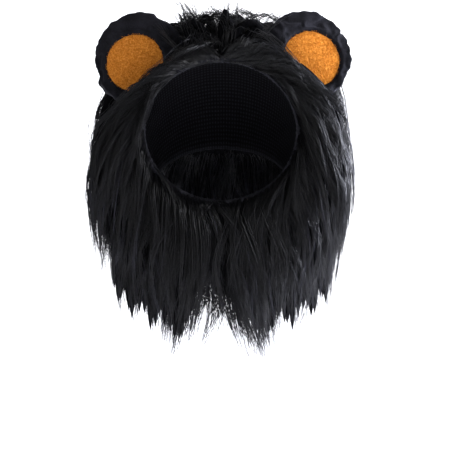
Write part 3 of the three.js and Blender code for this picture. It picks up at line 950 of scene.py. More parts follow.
@dataclass
class ThroatTape:
    """The closing tape under the throat slit: a loop strip sewn to one side with a hook strip on it."""

    shape: HoodShape = HOOD
    length: float = 46 * MM
    width: float = 20 * MM
    thickness: float = 1.8 * MM
    gap: float = 0.4 * MM
    stitch_pitch: float = 3 * MM

    def lay(self, share_x: Points, share_y: Points, depth: Points | float) -> Points:
        """Places on the inside of the throat.

        Args:
            share_x: from -1 to 1 across the slit.
            share_y: from -1 to 1 front to back.
            depth: how far inside the hood's inner surface.

        Returns:
            The places.
        """
        around = math.pi + share_x * self.length / 2 / self.shape.section(0.5)[0]
        reach = self.shape.bend * mix(self.shape.chin_reach, self.shape.throat_reach, 0.5)
        along = 0.5 + share_y * self.width / 2 / reach
        return self.shape.point(along, around, -depth)

    def strip(self, name: str, low: float, high: float, reach: float) -> bpy.types.Object:
        """One strip of tape, bent to the throat.

        Args:
            name: its name.
            low: how deep under the hood its outer face lies.
            high: how deep its inner face lies.
            reach: its share of the tape's length and width.

        Returns:
            The strip.
        """
        deselect()
        bpy.ops.mesh.primitive_cube_add(size=2)
        strip = bpy.context.object
        with editing(select=True):
            bpy.ops.mesh.subdivide(number_cuts=11)
        cube = coordinates(strip)
        share_x, share_y = cube[:, 0] * reach, cube[:, 1] * reach
        depth = mix(low, high, (cube[:, 2] + 1) / 2)
        reshape(strip, self.lay(share_x, share_y, depth))
        rounding = strip.modifiers.new("rounding", "BEVEL")
        rounding.width = 0.25 * MM
        rounding.segments = 2
        apply_modifiers(strip)
        finish_piece(strip, name, HookTape())
        return strip

    def stitches(self, depth: float) -> bpy.types.Object:
        """A row of thread stitches round the strip's edge, joined as one piece.

        Args:
            depth: how far inside the hood the stitches lie.

        Returns:
            The stitches.
        """
        rows = []
        count_x, count_y = round(self.length / self.stitch_pitch), round(self.width / self.stitch_pitch)
        edge = 0.88
        for k in range(count_x):
            middle = mix(-edge, edge, (k + 0.5) / count_x)
            rows += [((middle, s * edge), (0.6 * edge / count_x, 0)) for s in (-1, 1)]
        for k in range(count_y):
            middle = mix(-edge, edge, (k + 0.5) / count_y)
            rows += [((s * edge, middle), (0, 0.6 * edge / count_y)) for s in (-1, 1)]
        lines = []
        for (x, y), (dx, dy) in rows:
            shares = np.linspace(-1, 1, 6)
            sink = 0.25 * MM * shares ** 4
            lines.append(self.lay(x + dx * shares, y + dy * shares, depth - sink))
        radii = np.full((len(lines), 6), 0.2 * MM)
        piece = strand_mesh("throat_stitches", np.array(lines), radii, np.full(len(lines), 0.8), 6)
        return dress_strands(piece, HookTape())

    def build(self) -> list[bpy.types.Object]:
        """Makes both strips and the stitching.

        Returns:
            The three pieces.
        """
        middle = self.gap + self.thickness / 2
        top = self.strip("throat_tape_loop", self.gap, middle - 0.05 * MM, 1.0)
        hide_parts("throat_tape")
        under = self.strip("throat_tape_hook", middle + 0.05 * MM, self.gap + self.thickness, 0.94)
        return [top, under, self.stitches(self.gap + self.thickness)]


@dataclass
class StuffedEar:
    """An ear: a plush cover gathered round a filling, and a felt disc sewn into its front."""

    side: Side
    shape: EarShape = EAR
    hood: HoodShape = HOOD
    voxel: float = 1.5 * MM
    felt_thickness: float = 2 * MM
    felt_dome: float = 0.9 * MM
    recess: float = 0.42
    frames: int = 20
    swell_cap: float = 2.2 * MM
    swell_room: float = 1.6 * MM
    seam_width: float = 2 * MM
    seam_depth: float = 2.2 * MM
    # The steps by which front and back crown: how far in, and how far out.
    front_crown: tuple[float, float] = (4.5 * MM, 1.4 * MM)
    back_crown: tuple = ((7 * MM, 1.8 * MM), (8 * MM, 0.5 * MM))
    fold_depth: float = 0.9 * MM
    fibres: int = 1000
    fibre_length: tuple[float, float] = (1.2, 3.2)
    fibre_radius: float = 0.09 * MM
    fibre_arch: float = 0.45 * MM

    def __post_init__(self) -> None:
        """Works out the ear's place."""
        self.matrix = self.shape.place(self.side, self.hood.face_middle)

    def build(self) -> list[bpy.types.Object]:
        """Makes the cover, the disc and the disc's loose fibres."""
        return [self.cover(), self.disc(), self.fuzz()]

    def blank(self) -> bpy.types.Object:
        """The cover's form before it is filled: a thick plate with the ear's outline and a sunk front.

        Returns:
            The blank.
        """
        sides = 72
        deselect()
        bpy.ops.mesh.primitive_cylinder_add(
            vertices=sides, radius=1, depth=self.shape.thickness * 0.62, end_fill_type="NGON",
            rotation=(math.pi / 2, 0, 0))
        ear = bpy.context.object
        apply_place()
        places = coordinates(ear)
        angle = np.arctan2(places[:, 0], places[:, 2])
        radius = self.shape.radius(angle, self.side) - self.swell_room
        places[:, 0] = np.sin(angle) * radius - self.shape.felt_offset
        places[:, 2] = np.cos(angle) * radius
        reshape(ear, places)
        with editing():
            select_by(ear, "FACE", lambda p: p.y < -self.shape.thickness * 0.3)
            bpy.ops.mesh.inset(thickness=self.front_crown[0], depth=0)
            bpy.ops.transform.translate(value=(0, -self.front_crown[1], 0))
        self.sink_front(ear)
        return ear

    def sink_front(self, ear: bpy.types.Object) -> None:
        """Insets the front to the felt's round and pushes it in, then domes the back.

        Args:
            ear: the plate.
        """
        with editing():
            front = -self.shape.thickness * 0.4
            select_by(ear, "FACE", lambda p: p.y < front)
            bpy.ops.mesh.inset(thickness=self.seam_width, depth=0)
            mesh = bmesh.from_edit_mesh(ear.data)
            ring = {v for f in mesh.faces if f.select for v in f.verts}
            for v in ring:
                angle = math.atan2(v.co.x, v.co.z)
                v.co.x = math.sin(angle) * self.shape.felt_radius
                v.co.z = math.cos(angle) * self.shape.felt_radius
            bmesh.update_edit_mesh(ear.data)
            bpy.ops.mesh.extrude_region_move(TRANSFORM_OT_translate={"value": (0, self.seam_depth, 0)})
            back = self.shape.thickness * 0.25
            select_by(ear, "FACE", lambda p: p.y > back)
            for inward, out in self.back_crown:
                bpy.ops.mesh.inset(thickness=inward, depth=0)
                bpy.ops.transform.translate(value=(0, out, 0))

    def cover(self) -> bpy.types.Object:
        """Remeshes the blank, fills it as cloth under pressure, gathers its edge and cuts its foot.

        Returns:
            The cover.
        """
        ear = self.blank()
        remesh = ear.modifiers.new("remesh", "REMESH")
        remesh.mode = "VOXEL"
        remesh.voxel_size = self.voxel
        even = ear.modifiers.new("even", "SMOOTH")
        even.factor = 0.5
        even.iterations = 4
        apply_modifiers(ear)
        self.fill(ear)
        self.gather(ear)
        refine(ear)
        if self.side is Side.LEFT:
            with editing(select=True):
                bpy.ops.transform.mirror(constraint_axis=(True, False, False), center_override=(0, 0, 0))
        ear.data.transform(self.matrix)
        self.seat(ear)
        finish_piece(ear, f"ear_{self.side.word}_cover", ShortPlush())
        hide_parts(f"ear_{self.side.word}")
        return ear

    def pinned(self, places: Points) -> Points:
        """Which of the cover's points the felt's seam and the hood hold.

        Args:
            places: the points, in the ear's frame.

        Returns:
            A weight for each, 1 where it is held.
        """
        reach = np.hypot(places[:, 0], places[:, 2])
        sunk = (reach < self.shape.felt_radius + 0.6 * MM) & (places[:, 1] < 0)
        foot = places[:, 2] < -self.shape.drop * 0.75
        return (sunk | foot).astype(float)

    def fill(self, ear: bpy.types.Object) -> None:
        """Blows the cover up as cloth that is cut larger than its seams, so that it puckers.

        Args:
            ear: the cover, in the ear's own frame.
        """
        rest = coordinates(ear)
        group = ear.vertex_groups.new(name="held")
        held = self.pinned(rest)
        group.add([int(i) for i in np.flatnonzero(held)], 1.0, "REPLACE")
        cloth = ear.modifiers.new("cloth", "CLOTH")
        settings = cloth.settings
        settings.vertex_group_mass = "held"
        settings.use_pressure = True
        settings.uniform_pressure_force = 4
        settings.shrink_min = settings.shrink_max = -0.14
        settings.mass = 0.02
        settings.tension_stiffness = settings.compression_stiffness = 8
        settings.shear_stiffness = 4
        settings.bending_stiffness = 0.02
        settings.effector_weights.gravity = 0
        settings.quality = 6
        cloth.point_cache.frame_start, cloth.point_cache.frame_end = 1, self.frames
        for step in range(1, self.frames + 1):
            bpy.context.scene.frame_set(step)
        depsgraph = bpy.context.evaluated_depsgraph_get()
        filled = ear.evaluated_get(depsgraph).to_mesh()
        values = np.empty(len(filled.vertices) * 3, np.float32)
        filled.vertices.foreach_get("co", values)
        move = values.reshape(-1, 3) - rest
        ear.evaluated_get(depsgraph).to_mesh_clear()
        ear.modifiers.remove(cloth)
        bpy.context.scene.frame_set(1)
        far = np.linalg.norm(move, axis=1, keepdims=True)
        log.info("%s ear filled: moves up to %.1f mm", self.side.word, far.max() / MM)
        move *= np.minimum(1, self.swell_cap / np.maximum(far, 1e-9))
        reshape(ear, rest + move)

    def gather(self, ear: bpy.types.Object) -> None:
        """Draws folds from the edge in towards the felt, deepest where the edge is dented.

        Args:
            ear: the cover, in the ear's own frame.
        """
        places = coordinates(ear)
        x = places[:, 0] + self.shape.felt_offset
        angle = np.arctan2(x, places[:, 2])
        edge = np.hypot(x, places[:, 2]) / self.shape.radius(angle, self.side)
        seed = 20 + self.side.value
        fold = waves(angle + 0.05 * waves(angle, (3, 5), seed), (13, 19, 27), seed + 5)
        near = smooth(edge, 0.66, 0.95)
        held = self.pinned(places)
        depth = self.fold_depth * fold * near * (1 - held)
        outwards = unit(np.stack([x, 2.2 * places[:, 1], places[:, 2]], 1))
        reshape(ear, places + outwards * depth[:, None])

    def seat(self, ear: bpy.types.Object) -> None:
        """Cuts away the foot where the ear meets the hood, and closes the cut.

        Args:
            ear: the cover, in its place on the hood.
        """
        across = self.matrix.to_3x3() @ Vector((0, 0, 1))
        foot = self.matrix @ Vector((0, 0, -self.shape.drop * 0.86))
        only(ear)
        with editing(select=True):
            bpy.ops.mesh.bisect(plane_co=foot, plane_no=across, use_fill=True, clear_inner=True)
        log.info("%s ear cut at its foot", self.side.word)

    def disc(self) -> bpy.types.Object:
        """The felt disc: a slightly domed round with a soft edge, seated in the cover's front.

        Returns:
            The disc.
        """
        radius = self.shape.felt_radius - 0.2 * MM
        back = -(self.recess * self.shape.thickness / 2 - 0.4 * MM)
        deselect()
        bpy.ops.mesh.primitive_cylinder_add(
            vertices=96, radius=radius, depth=self.felt_thickness, end_fill_type="NGON",
            location=(0, back - self.felt_thickness / 2, 0), rotation=(math.pi / 2, 0, 0))
        disc = bpy.context.object
        apply_place()
        with editing():
            front = back - self.felt_thickness * 0.9
            select_by(disc, "FACE", lambda p: p.y < front)
            for _ in range(8):
                bpy.ops.mesh.inset(thickness=radius * 0.115, depth=0)
            bpy.ops.mesh.poke()
        places = coordinates(disc)
        reach = np.hypot(places[:, 0], places[:, 2]) / radius
        angle = np.arctan2(places[:, 0], places[:, 2])
        lift = self.felt_dome * (1 - reach ** 2) - 0.5 * MM * smooth(reach, 0.9, 1.0)
        lift += 0.25 * MM * waves(angle, (3, 5, 8), 40 + self.side.value) * smooth(reach, 0.2, 0.9)
        places[:, 1] -= np.where(places[:, 1] < front, lift, 0)
        edge = 1 + 0.006 * waves(angle, (7, 12, 19), 50 + self.side.value)
        places[:, 0] *= edge
        places[:, 2] *= edge
        reshape(disc, places)
        rounding = disc.modifiers.new("rounding", "BEVEL")
        rounding.width = 0.5 * MM
        rounding.segments = 3
        refine(disc)
        self.front_of_disc = front
        disc.data.transform(self.matrix)
        finish_piece(disc, f"ear_{self.side.word}_felt_disc", FleeceFelt())
        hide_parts(f"ear_{self.side.word}_felt")
        return disc

    def fuzz(self) -> bpy.types.Object:
        """Loose curled fibres on the felt, drawn thicker than real ones so that they show.

        Returns:
            The fibres, joined as one piece.
        """
        draw = np.random.default_rng(60 + self.side.value)
        count, points = self.fibres, 5
        reach = np.sqrt(draw.random(count)) * (self.shape.felt_radius - 0.4 * MM)
        angle = draw.uniform(0, 2 * math.pi, count)
        heading = draw.uniform(0, 2 * math.pi, count)
        curl = draw.normal(0, 1.3, count)
        length = draw.uniform(*self.fibre_length, count) * MM
        x, z = reach * np.sin(angle), reach * np.cos(angle)
        lines = np.empty((count, points, 3))
        for k in range(points):
            share = k / (points - 1)
            lift = self.felt_dome * (1 - np.minimum(1, np.hypot(x, z) / self.shape.felt_radius) ** 2)
            arch = self.fibre_arch * math.sin(math.pi * share) + 0.05 * MM
            lines[:, k] = np.stack([x, self.front_of_disc - lift - arch - 0.1 * MM, z], 1)
            turn = heading + curl * share
            x, z = x + np.sin(turn) * length / points, z + np.cos(turn) * length / points
        matrix = np.array(self.matrix)
        lines = lines @ matrix[:3, :3].T + matrix[:3, 3]
        radii = np.full((count, points), self.fibre_radius)
        piece = strand_mesh(f"ear_{self.side.word}_felt_fibres", lines, radii, draw.random(count), 3)
        return dress_strands(piece, FleeceFelt())


def strand_mesh(name: str, lines: Points, radii: Points, shade: Points, sides: int) -> bpy.types.Object:
    """Joins many thin closed tubes, pointed at their ends, to one mesh.

    Args:
        name: the piece's name.
        lines: for each strand, its points from root to tip.
        radii: for each strand, its radius at each point.
        shade: for each strand, its lightness from 0 to 1, which the mesh darkens towards the root as painted
            shade.
        sides: how many sides a tube has.

    Returns:
        The new piece, linked to the scene.
    """
    count, steps = lines.shape[:2]
    heading = unit(np.gradient(lines, axis=1))
    reference = np.where(np.abs(heading[:, :1, 1:2]) < 0.8, [0.0, 1.0, 0.0], [1.0, 0.0, 0.0])
    across = unit(np.cross(heading, reference))
    other = np.cross(heading, across)
    turns = 2 * math.pi * np.arange(sides) / sides
    ring = (across[:, :-1, None] * np.cos(turns)[:, None] + other[:, :-1, None] * np.sin(turns)[:, None])
    rings = lines[:, :-1, None] + ring * radii[:, :-1, None, None]
    per_strand = (steps - 1) * sides + 1
    vertices = np.concatenate([rings.reshape(count, -1, 3), lines[:, -1:]], axis=1).reshape(-1, 3)
    k = np.arange(sides)
    after = (k + 1) % sides
    quads = [np.stack([r * sides + k, r * sides + after, (r + 1) * sides + after, (r + 1) * sides + k], 1)
             for r in range(steps - 2)]
    quads = np.concatenate(quads)
    tips = np.stack([(steps - 2) * sides + k, (steps - 2) * sides + after, np.full(sides, per_strand - 1)], 1)
    root = k[::-1]
    first = (np.arange(count) * per_strand)[:, None, None]
    groups = [
        (quads + first).reshape(-1, 4), (tips + first).reshape(-1, 3), (root[None] + first).reshape(-1, sides)]
    mesh = bpy.data.meshes.new(name)
    corners = np.concatenate([g.ravel() for g in groups]).astype(np.int32)
    totals = np.concatenate([np.full(len(g), g.shape[1]) for g in groups])
    starts = np.concatenate([[0], np.cumsum(totals)[:-1]]).astype(np.int32)
    mesh.vertices.add(len(vertices))
    mesh.vertices.foreach_set("co", vertices.astype(np.float32).ravel())
    mesh.loops.add(len(corners))
    mesh.loops.foreach_set("vertex_index", corners)
    mesh.polygons.add(len(starts))
    mesh.polygons.foreach_set("loop_start", starts)
    mesh.update(calc_edges=True)
    mesh.attributes.new("shade", "FLOAT", "POINT")
    along = np.concatenate([np.repeat(np.linspace(0, 1, steps)[:-1], sides), [1.0]])
    # Darker towards the root: painted shade of the pile lying over the roots.
    tone = shade[:, None] * (0.45 + 0.55 * along[None])
    mesh.attributes["shade"].data.foreach_set("value", tone.astype(np.float32).ravel())
    mesh.shade_smooth()
    piece = bpy.data.objects.new(name, mesh)
    bpy.context.scene.collection.objects.link(piece)
    return piece


def dress_strands(piece: bpy.types.Object, finish: Finish) -> bpy.types.Object:
    """Gives a piece of strands its finish and lets it ride.

    Args:
        piece: the strands.
        finish: their finish.

    Returns:
        The piece.
    """
    piece.data.materials.append(finish.build())
    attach(piece, BODY)
    log.info("%s: %d faces", piece.name, len(piece.data.polygons))
    return piece


@dataclass
class PileFlow:
    """How the pile runs: it leaves the hood at a lift, is combed back over the crown and down the sides,
    and then hangs."""

    hood: HoodShape = HOOD
    ear: EarShape = EAR
    ear_gap: float = 1 * MM
    crown_share: float = 1.5
    crown_lift: float = 1.5
    chord_spread: float = 1.6 * MM
    part_x: float = -9 * MM
    part_push: float = 0.42
    part_width: float = 8 * MM
    part_trim: float = 0.34
    bunch_x: float = -31 * MM
    bunch_width: float = 15 * MM
    bunch_length: float = 0.2
    hem_front: float = 8.6 * MM
    hem_round: float = 2.4 * MM
    taper: float = 0.87
    taper_span: tuple[float, float] = (100 * MM, 180 * MM)
    root: float = 1.5 * MM
    ragged: float = 3 * MM
    rim_sink: float = 3.5 * MM
    rim_rise: float = 5 * MM
    brow_sink: float = 6 * MM
    brow_rise: float = 20 * MM
    felt_chord: dict = field(default_factory=lambda: {Side.LEFT: -17.5 * MM, Side.RIGHT: -10.5 * MM})
    reach: Points = field(default_factory=lambda: MM * np.array([
        (-93.5, -76, 76, 92), (-60, -45, 66, 90), (-233, -218, 24, 37)]))

    def top(self, around: Points) -> Points:
        """How far a root counts as on the crown, from 0 to 1."""
        return 1 - smooth(np.abs(around) / math.pi, 0.08, 0.34)

    def bib(self, around: Points) -> Points:
        """How far a root counts as at the throat, from 0 to 1."""
        return smooth(np.abs(around) / math.pi, 0.72, 0.95)

    def trim(self, around: Points) -> Points:
        """How long pile is at the throat against the rest: short in the parting, long in the left bunch.

        Args:
            around: angles round the hood.

        Returns:
            The share of the full length at each.
        """
        x = self.hood.section(0.5)[0] * np.sin(around)
        gap = self.part_trim * np.exp(-(((x - self.part_x) / self.part_width) ** 2))
        bunch = self.bunch_length * np.exp(-(((x - self.bunch_x) / self.bunch_width) ** 2))
        return 1 + self.bib(around) * (bunch - gap)

    def clear(self, points: Points, margin: Points | float, chord: Points | float) -> Points:
        """Moves points out of the hood and the ears, and down off the ears' fronts.

        Args:
            points: where they are.
            margin: how far off the hood.
            chord: how much higher than usual they may lie on an ear.

        Returns:
            The points.
        """
        return self.off_ears(self.hood.outside(points, margin), chord)

    def off_ears(self, points: Points, chord: Points | float) -> Points:
        """Moves points out of both ears, and down off their fronts to a chord.

        Args:
            points: where they are.
            chord: how much higher than usual they may lie on an ear.

        Returns:
            The points.
        """
        for side in Side:
            points = self.ear.below_felt(points, side, self.hood.face_middle, self.felt_chord[side] + chord)
            points = self.ear.aside(points, side, self.hood.face_middle, self.ear_gap)
        return points

    def contain(self, points: Points, slack: float = 0.0) -> Points:
        """Draws what stands far out back towards the outline, as pile that is brushed down.

        Args:
            points: where the pile is.
            slack: how much further out than usual it may stand.

        Returns:
            The points.
        """
        kept = points.copy()
        for axis, (low, soft_low, soft_high, high) in enumerate(self.reach):
            value = kept[..., axis]
            narrow = mix(1, self.taper, smooth(-kept[..., 2], *self.taper_span)) if axis == 0 else 1.0
            low, soft_low, soft_high, high = (
                (low - slack) * narrow, soft_low * narrow, soft_high * narrow, (high + slack) * narrow)
            over = soft_high + (high - soft_high) * np.tanh((value - soft_high) / (high - soft_high))
            under = soft_low + (low - soft_low) * np.tanh((value - soft_low) / (low - soft_low))
            kept[..., axis] = np.where(value > soft_high, over, np.where(value < soft_low, under, value))
        return kept

    def lines(self, along: Points, around: Points, length: Points, lift: Points, depth: Points,
              steps: int, stray: Points | float = 0.0, flare: Points | float = 0.0,
              sway: Points | float = 0.0) -> Points:
        """The lines that strands rooted on the hood follow.

        Args:
            along: each root's share of the hood's length.
            around: each root's angle round the hood.
            length: each strand's length.
            lift: how steeply it leaves the hood.
            depth: how much pile lies under it, at the sides.
            steps: how many steps it has.
            stray: a sideways turn off the combed way, as a share.
            flare: how far its tip turns outwards, as a share.
            sway: how far it swings to one side and back, as a share.

        Returns:
            For each strand, steps + 1 points from root to tip.
        """
        top, bib = self.top(around), self.bib(around)
        front = 1 - smooth(along, 0.3, 0.7)
        out, down, back = self.hood.axes(along, around)
        parting = mix(smooth(np.abs(around), 0, 0.35), smooth(np.abs(around), -0.05, 0.15), front)
        comb = out * (lift * mix(1, 0.55, bib) * mix(1, mix(0.75, self.crown_lift, front), top))[:, None]
        comb += down * (mix(0.95, 0.35, top) * (1 - bib) * parting)[:, None]
        comb += back * ((mix(0.12, 0.5, top) * (1 - bib)) + stray)[:, None]
        point = self.hood.point(along, around, self.hood.wall + self.root)
        side = np.sign(point[:, 0] - self.part_x)
        depth = depth * mix(1, self.crown_share, top)
        chord = -self.ragged * np.abs(np.sin(around * 97))
        away = unit((point - self.hood.face_middle) * [1, 0.5, 0])
        lines = [point]
        for i in range(1, steps + 1):
            t = i / steps
            heading = comb * (1 - t) ** 1.2 + away * (flare * smooth(t, 0.5, 1.0))[..., None]
            heading[:, 2] -= (0.12 + 1.5 * t + 0.5 * bib) * mix(1, 0.8, top)
            heading[:, 0] += self.part_push * bib * t * side + sway * math.sin(math.pi * 1.6 * t)
            point = point + unit(heading) * (length / steps)[:, None]
            rise = np.sin(math.pi / 2 * np.minimum(1, t * mix(3, 7, top)))
            point = self.clear(point, depth * rise + self.root, chord)
            lines.append(point)
        return np.stack(lines, axis=1)

    def rim_lines(self, around: Points, tilt: Points, length: Points, depth: Points, steps: int,
                  stray: Points | float = 0.0, sway: Points | float = 0.0) -> Points:
        """The lines that strands rooted on the face hem follow: forwards off the roll, then over the mane.

        Args:
            around: each root's angle round the face opening.
            tilt: where on the roll it sits, 0 outside, a quarter turn in front, and more towards the face.
            length: each strand's length.
            depth: how far before the roll it lies.
            steps: how many steps it has.
            stray: a sideways turn off the combed way, as a share.
            sway: how far it swings to one side and back, as a share.

        Returns:
            For each strand, steps + 1 points from root to tip.
        """
        bib, top = self.bib(around), self.top(around)
        half_width, half_height, _ = self.hood.section(0.0)
        outwards = np.stack([np.sin(around), np.zeros_like(around), np.cos(around)], 1)
        tangent = np.stack([np.cos(around), np.zeros_like(around), -np.sin(around)], 1)
        tangent *= np.where(around < 0, -1, 1)[:, None]
        middle = self.hood.face_middle
        spine = middle + outwards * [half_width + MM, 0, half_height + MM]
        spine = spine - np.array([0, self.hem_front / 2, 0])
        normal = outwards * np.cos(tilt)[:, None] - np.array([0, 1.0, 0]) * np.sin(tilt)[:, None]
        point = spine + normal * [self.hem_round, self.hem_front / 2 - 0.5 * MM, self.hem_round]
        comb = outwards * mix(0.7, 0.25, bib)[:, None]
        comb += tangent * (mix(0.75, 0.55, top) * (1 - bib) + stray)[:, None]
        comb[:, 1] += 0.75 * top
        side = np.sign(point[:, 0] - self.part_x)
        chord = -self.ragged * np.abs(np.sin(around * 83))
        front = middle[1] - self.hem_front
        lines = [point]
        for i in range(1, steps + 1):
            t = i / steps
            heading = comb * (1 - t) ** 1.1 + normal * 1.4 * (1 - t) ** 7
            heading[:, 2] -= (0.1 + 1.4 * t + 0.5 * bib)
            heading[:, 0] += self.part_push * bib * t * side + sway * math.sin(math.pi * 1.6 * t)
            point = point + unit(heading) * (length / steps)[:, None]
            grow = -self.rim_sink + (depth * 0.5 + self.rim_rise) * smooth(t, 0, 0.35)
            flat = point - middle
            share = np.hypot(flat[:, 0] / (half_width + grow), flat[:, 2] / (half_height + grow))
            beside = (flat[:, 2] > -half_height * 0.6)
            push = np.where(beside, 1 / np.clip(share, 0.3, 1), 1)
            point = middle + flat * np.stack([push, np.ones_like(push), push], 1)
            ahead = front - depth * math.sin(math.pi / 2 * min(1, t * 4))
            point[:, 1] = np.where(t < mix(0.5, 0.12, top), np.minimum(point[:, 1], ahead), point[:, 1])
            point = self.hood.outside(point, -self.brow_sink + self.brow_rise * top * smooth(t, 0, 0.5))
            point = self.off_ears(point, chord)
            lines.append(point)
        return np.stack(lines, axis=1)


@dataclass
class Mane:
    """The mane: a dark undercoat of locks, clumps of long strands over it, a fringe rooted on the face
    hem, and loose wisps."""

    flow: PileFlow = field(default_factory=PileFlow)
    length: float = 106 * MM
    depth: float = 14 * MM
    clumps: int = 900
    strands_per_clump: int = 18
    rim_clumps: int = 310
    strands_per_rim_clump: int = 14
    stray_count: int = 1100
    wisp_count: int = 198
    wisps_in_bunch: int = 9
    wisp_length: tuple[float, float] = (32, 54)
    stray_slack: float = 5 * MM
    least_depth: float = 5 * MM
    steps: int = 6
    # Real fibres are about 0.05 mm thick, too fine to show, so a strand stands for a few dozen of them.
    strand_radius: float = 0.27 * MM
    pieces: int = 4
    # The undercoat's rows: share of the hood's length, how many locks, share of the mane's length.
    rows: tuple = (
        (0.04, 62, 0.7), (0.2, 62, 0.7), (0.4, 60, 0.7), (0.6, 58, 0.7),
        (0.8, 72, 0.74), (0.92, 84, 0.78), (0.985, 104, 0.84))

    def roots(self, count: int, seed: int) -> tuple[Points, Points, np.random.Generator]:
        """Roots spread evenly over the hood.

        Args:
            count: how many.
            seed: which draw.

        Returns:
            Shares along the hood, angles round it, and the generator for further draws.
        """
        draw = np.random.default_rng(seed)
        along = draw.uniform(0.01, 0.98, count * 3)
        around = draw.uniform(-math.pi, math.pi, count * 3)
        radius = self.flow.hood.section(along)[2] + self.flow.hood.section(along)[1] * np.cos(around)
        keep = draw.random(count * 3) < np.maximum(radius / radius.max(), 0.4)
        kept = np.flatnonzero(keep)[:count]
        return along[kept], around[kept], draw

    def clump(self, guides: Points, offsets: Points, each: int, draw: np.random.Generator) -> tuple:
        """Spreads strands round guide lines, close together at the tips.

        Args:
            guides: one line for each clump.
            offsets: for each strand, its root's place from its guide's root.
            each: how many strands a clump has.
            draw: the generator.

        Returns:
            Lines, radii and shades.
        """
        count = len(guides) * each
        share = np.linspace(0, 1, guides.shape[1])
        wobble = draw.normal(0, 1, (len(guides), 2, 3)) * MM
        phase = draw.uniform(0, 2 * math.pi, (len(guides), 1))
        swing = np.sin(phase + 2 * math.pi * 0.8 * share[None]) - np.sin(phase)
        guides = guides + wobble[:, :1] * 1.6 * swing[..., None]
        guides = guides + wobble[:, 1:] * 2.6 * (share ** 2)[None, :, None]
        tight = np.repeat(draw.uniform(0.4, 0.86, len(guides)), each)
        pull = 1 - tight[:, None] * smooth(share, 0.1, 1.0)[None]
        lines = np.repeat(guides, each, axis=0) + offsets[:, None] * pull[..., None]
        wave = draw.normal(0, 1, (count, 2, 3)) * MM
        lines += wave[:, :1] * 0.9 * np.sin(math.pi * share * 1.5)[None, :, None]
        lines += wave[:, 1:] * 1.2 * (share ** 2)[None, :, None]
        lines = self.shorten(lines, draw.uniform(0.7, 1.0, count))
        tone = np.repeat(draw.uniform(0.15, 0.7, len(guides)), each)
        taper = (1 - share ** 2.2) * 0.8 + 0.2
        radii = self.strand_radius * draw.uniform(0.7, 1.15, count)[:, None] * taper[None]
        return lines, radii, np.clip(tone + draw.normal(0, 0.18, count), 0, 1)

    def body(self) -> tuple[Points, Points, Points]:
        """The strands rooted on the hood, in clumps.

        Returns:
            Lines, radii and shades.
        """
        along, around, draw = self.roots(self.clumps, 1)
        count, fine = len(along), 12
        top, bib = self.flow.top(around), self.flow.bib(around)
        length = self.length * draw.uniform(0.7, 1.04, count) * (1 + 0.1 * (1 - top) * (1 - bib))
        length *= mix(1, 0.85, top * (1 - smooth(along, 0.2, 0.7))) * (1 + 0.07 * bib)
        length *= self.flow.trim(around)
        lift = draw.uniform(0.3, 0.72, count)
        depth = self.least_depth + (self.depth - self.least_depth) * draw.uniform(0, 1.0, count)
        guides = self.flow.lines(
            along, around, length, lift, depth, fine, draw.normal(0, 0.14, count),
            draw.uniform(0, 0.35, count), draw.normal(0, 0.3, count))
        guides = guides[:, :: fine // self.steps]
        each = self.strands_per_clump
        along_all = np.clip(np.repeat(along, each) + draw.normal(0, 0.03, count * each), 0.005, 0.99)
        around_all = np.repeat(around, each) + draw.normal(0, 0.06, count * each)
        roots = self.flow.hood.point(along_all, around_all, self.flow.hood.wall + 1.2 * MM)
        lines, radii, shade = self.clump(guides, roots - np.repeat(guides[:, 0], each, axis=0), each, draw)
        return self.flow.contain(self.tidy(lines, draw)), radii, shade

    def tidy(self, lines: Points, draw: np.random.Generator) -> Points:
        """Clears the hood, the ears and their fronts again after the strands were spread.

        Args:
            lines: the strands.
            draw: the generator.

        Returns:
            The strands.
        """
        chord = draw.normal(0, self.flow.chord_spread, (len(lines), 1))
        lines[:, 1:] = self.flow.clear(lines[:, 1:], np.full(lines[:, 1:, 0].shape, 1.0 * MM), chord)
        return lines

    def rim(self) -> tuple[Points, Points, Points]:
        """The fringe rooted on the face hem, in clumps.

        Returns:
            Lines, radii and shades.
        """
        draw = np.random.default_rng(5)
        count, fine, each = self.rim_clumps, 12, self.strands_per_rim_clump
        around = (np.arange(count) + draw.uniform(0, 1, count)) / count * 2 * math.pi - math.pi
        tilt = draw.uniform(0.5, 2.3, count)
        length = self.length * draw.uniform(0.5, 1.0, count) * self.flow.trim(around)
        depth = draw.uniform(0.5, 6, count) * MM
        guides = self.flow.rim_lines(
            around, tilt, length, depth, fine, draw.normal(0, 0.14, count), draw.normal(0, 0.4, count))
        guides = guides[:, :: fine // self.steps]
        around_all = np.repeat(around, each) + draw.normal(0, 0.035, count * each)
        tilt_all = np.repeat(tilt, each) + draw.normal(0, 0.2, count * each)
        short = np.full(count * each, MM)
        roots = self.flow.rim_lines(around_all, tilt_all, short, short, 1)[:, 0]
        lines, radii, shade = self.clump(guides, roots - np.repeat(guides[:, 0], each, axis=0), each, draw)
        chord = draw.normal(0, self.flow.chord_spread, (len(lines), 1))
        for side in Side:
            base = self.flow.felt_chord[side]
            lines = self.flow.ear.below_felt(lines, side, self.flow.hood.face_middle, base + chord)
        return self.flow.contain(lines), radii, shade

    def shorten(self, lines: Points, share: Points) -> Points:
        """Cuts each line to a share of its length, with its points spread evenly again.

        Args:
            lines: the lines.
            share: the share that is kept of each.

        Returns:
            The lines.
        """
        steps = lines.shape[1] - 1
        at = np.linspace(0, 1, steps + 1)[None] * share[:, None] * steps
        low = np.minimum(at.astype(int), steps - 1)
        part = (at - low)[..., None]
        rows = np.arange(len(lines))[:, None]
        return lines[rows, low] * (1 - part) + lines[rows, low + 1] * part

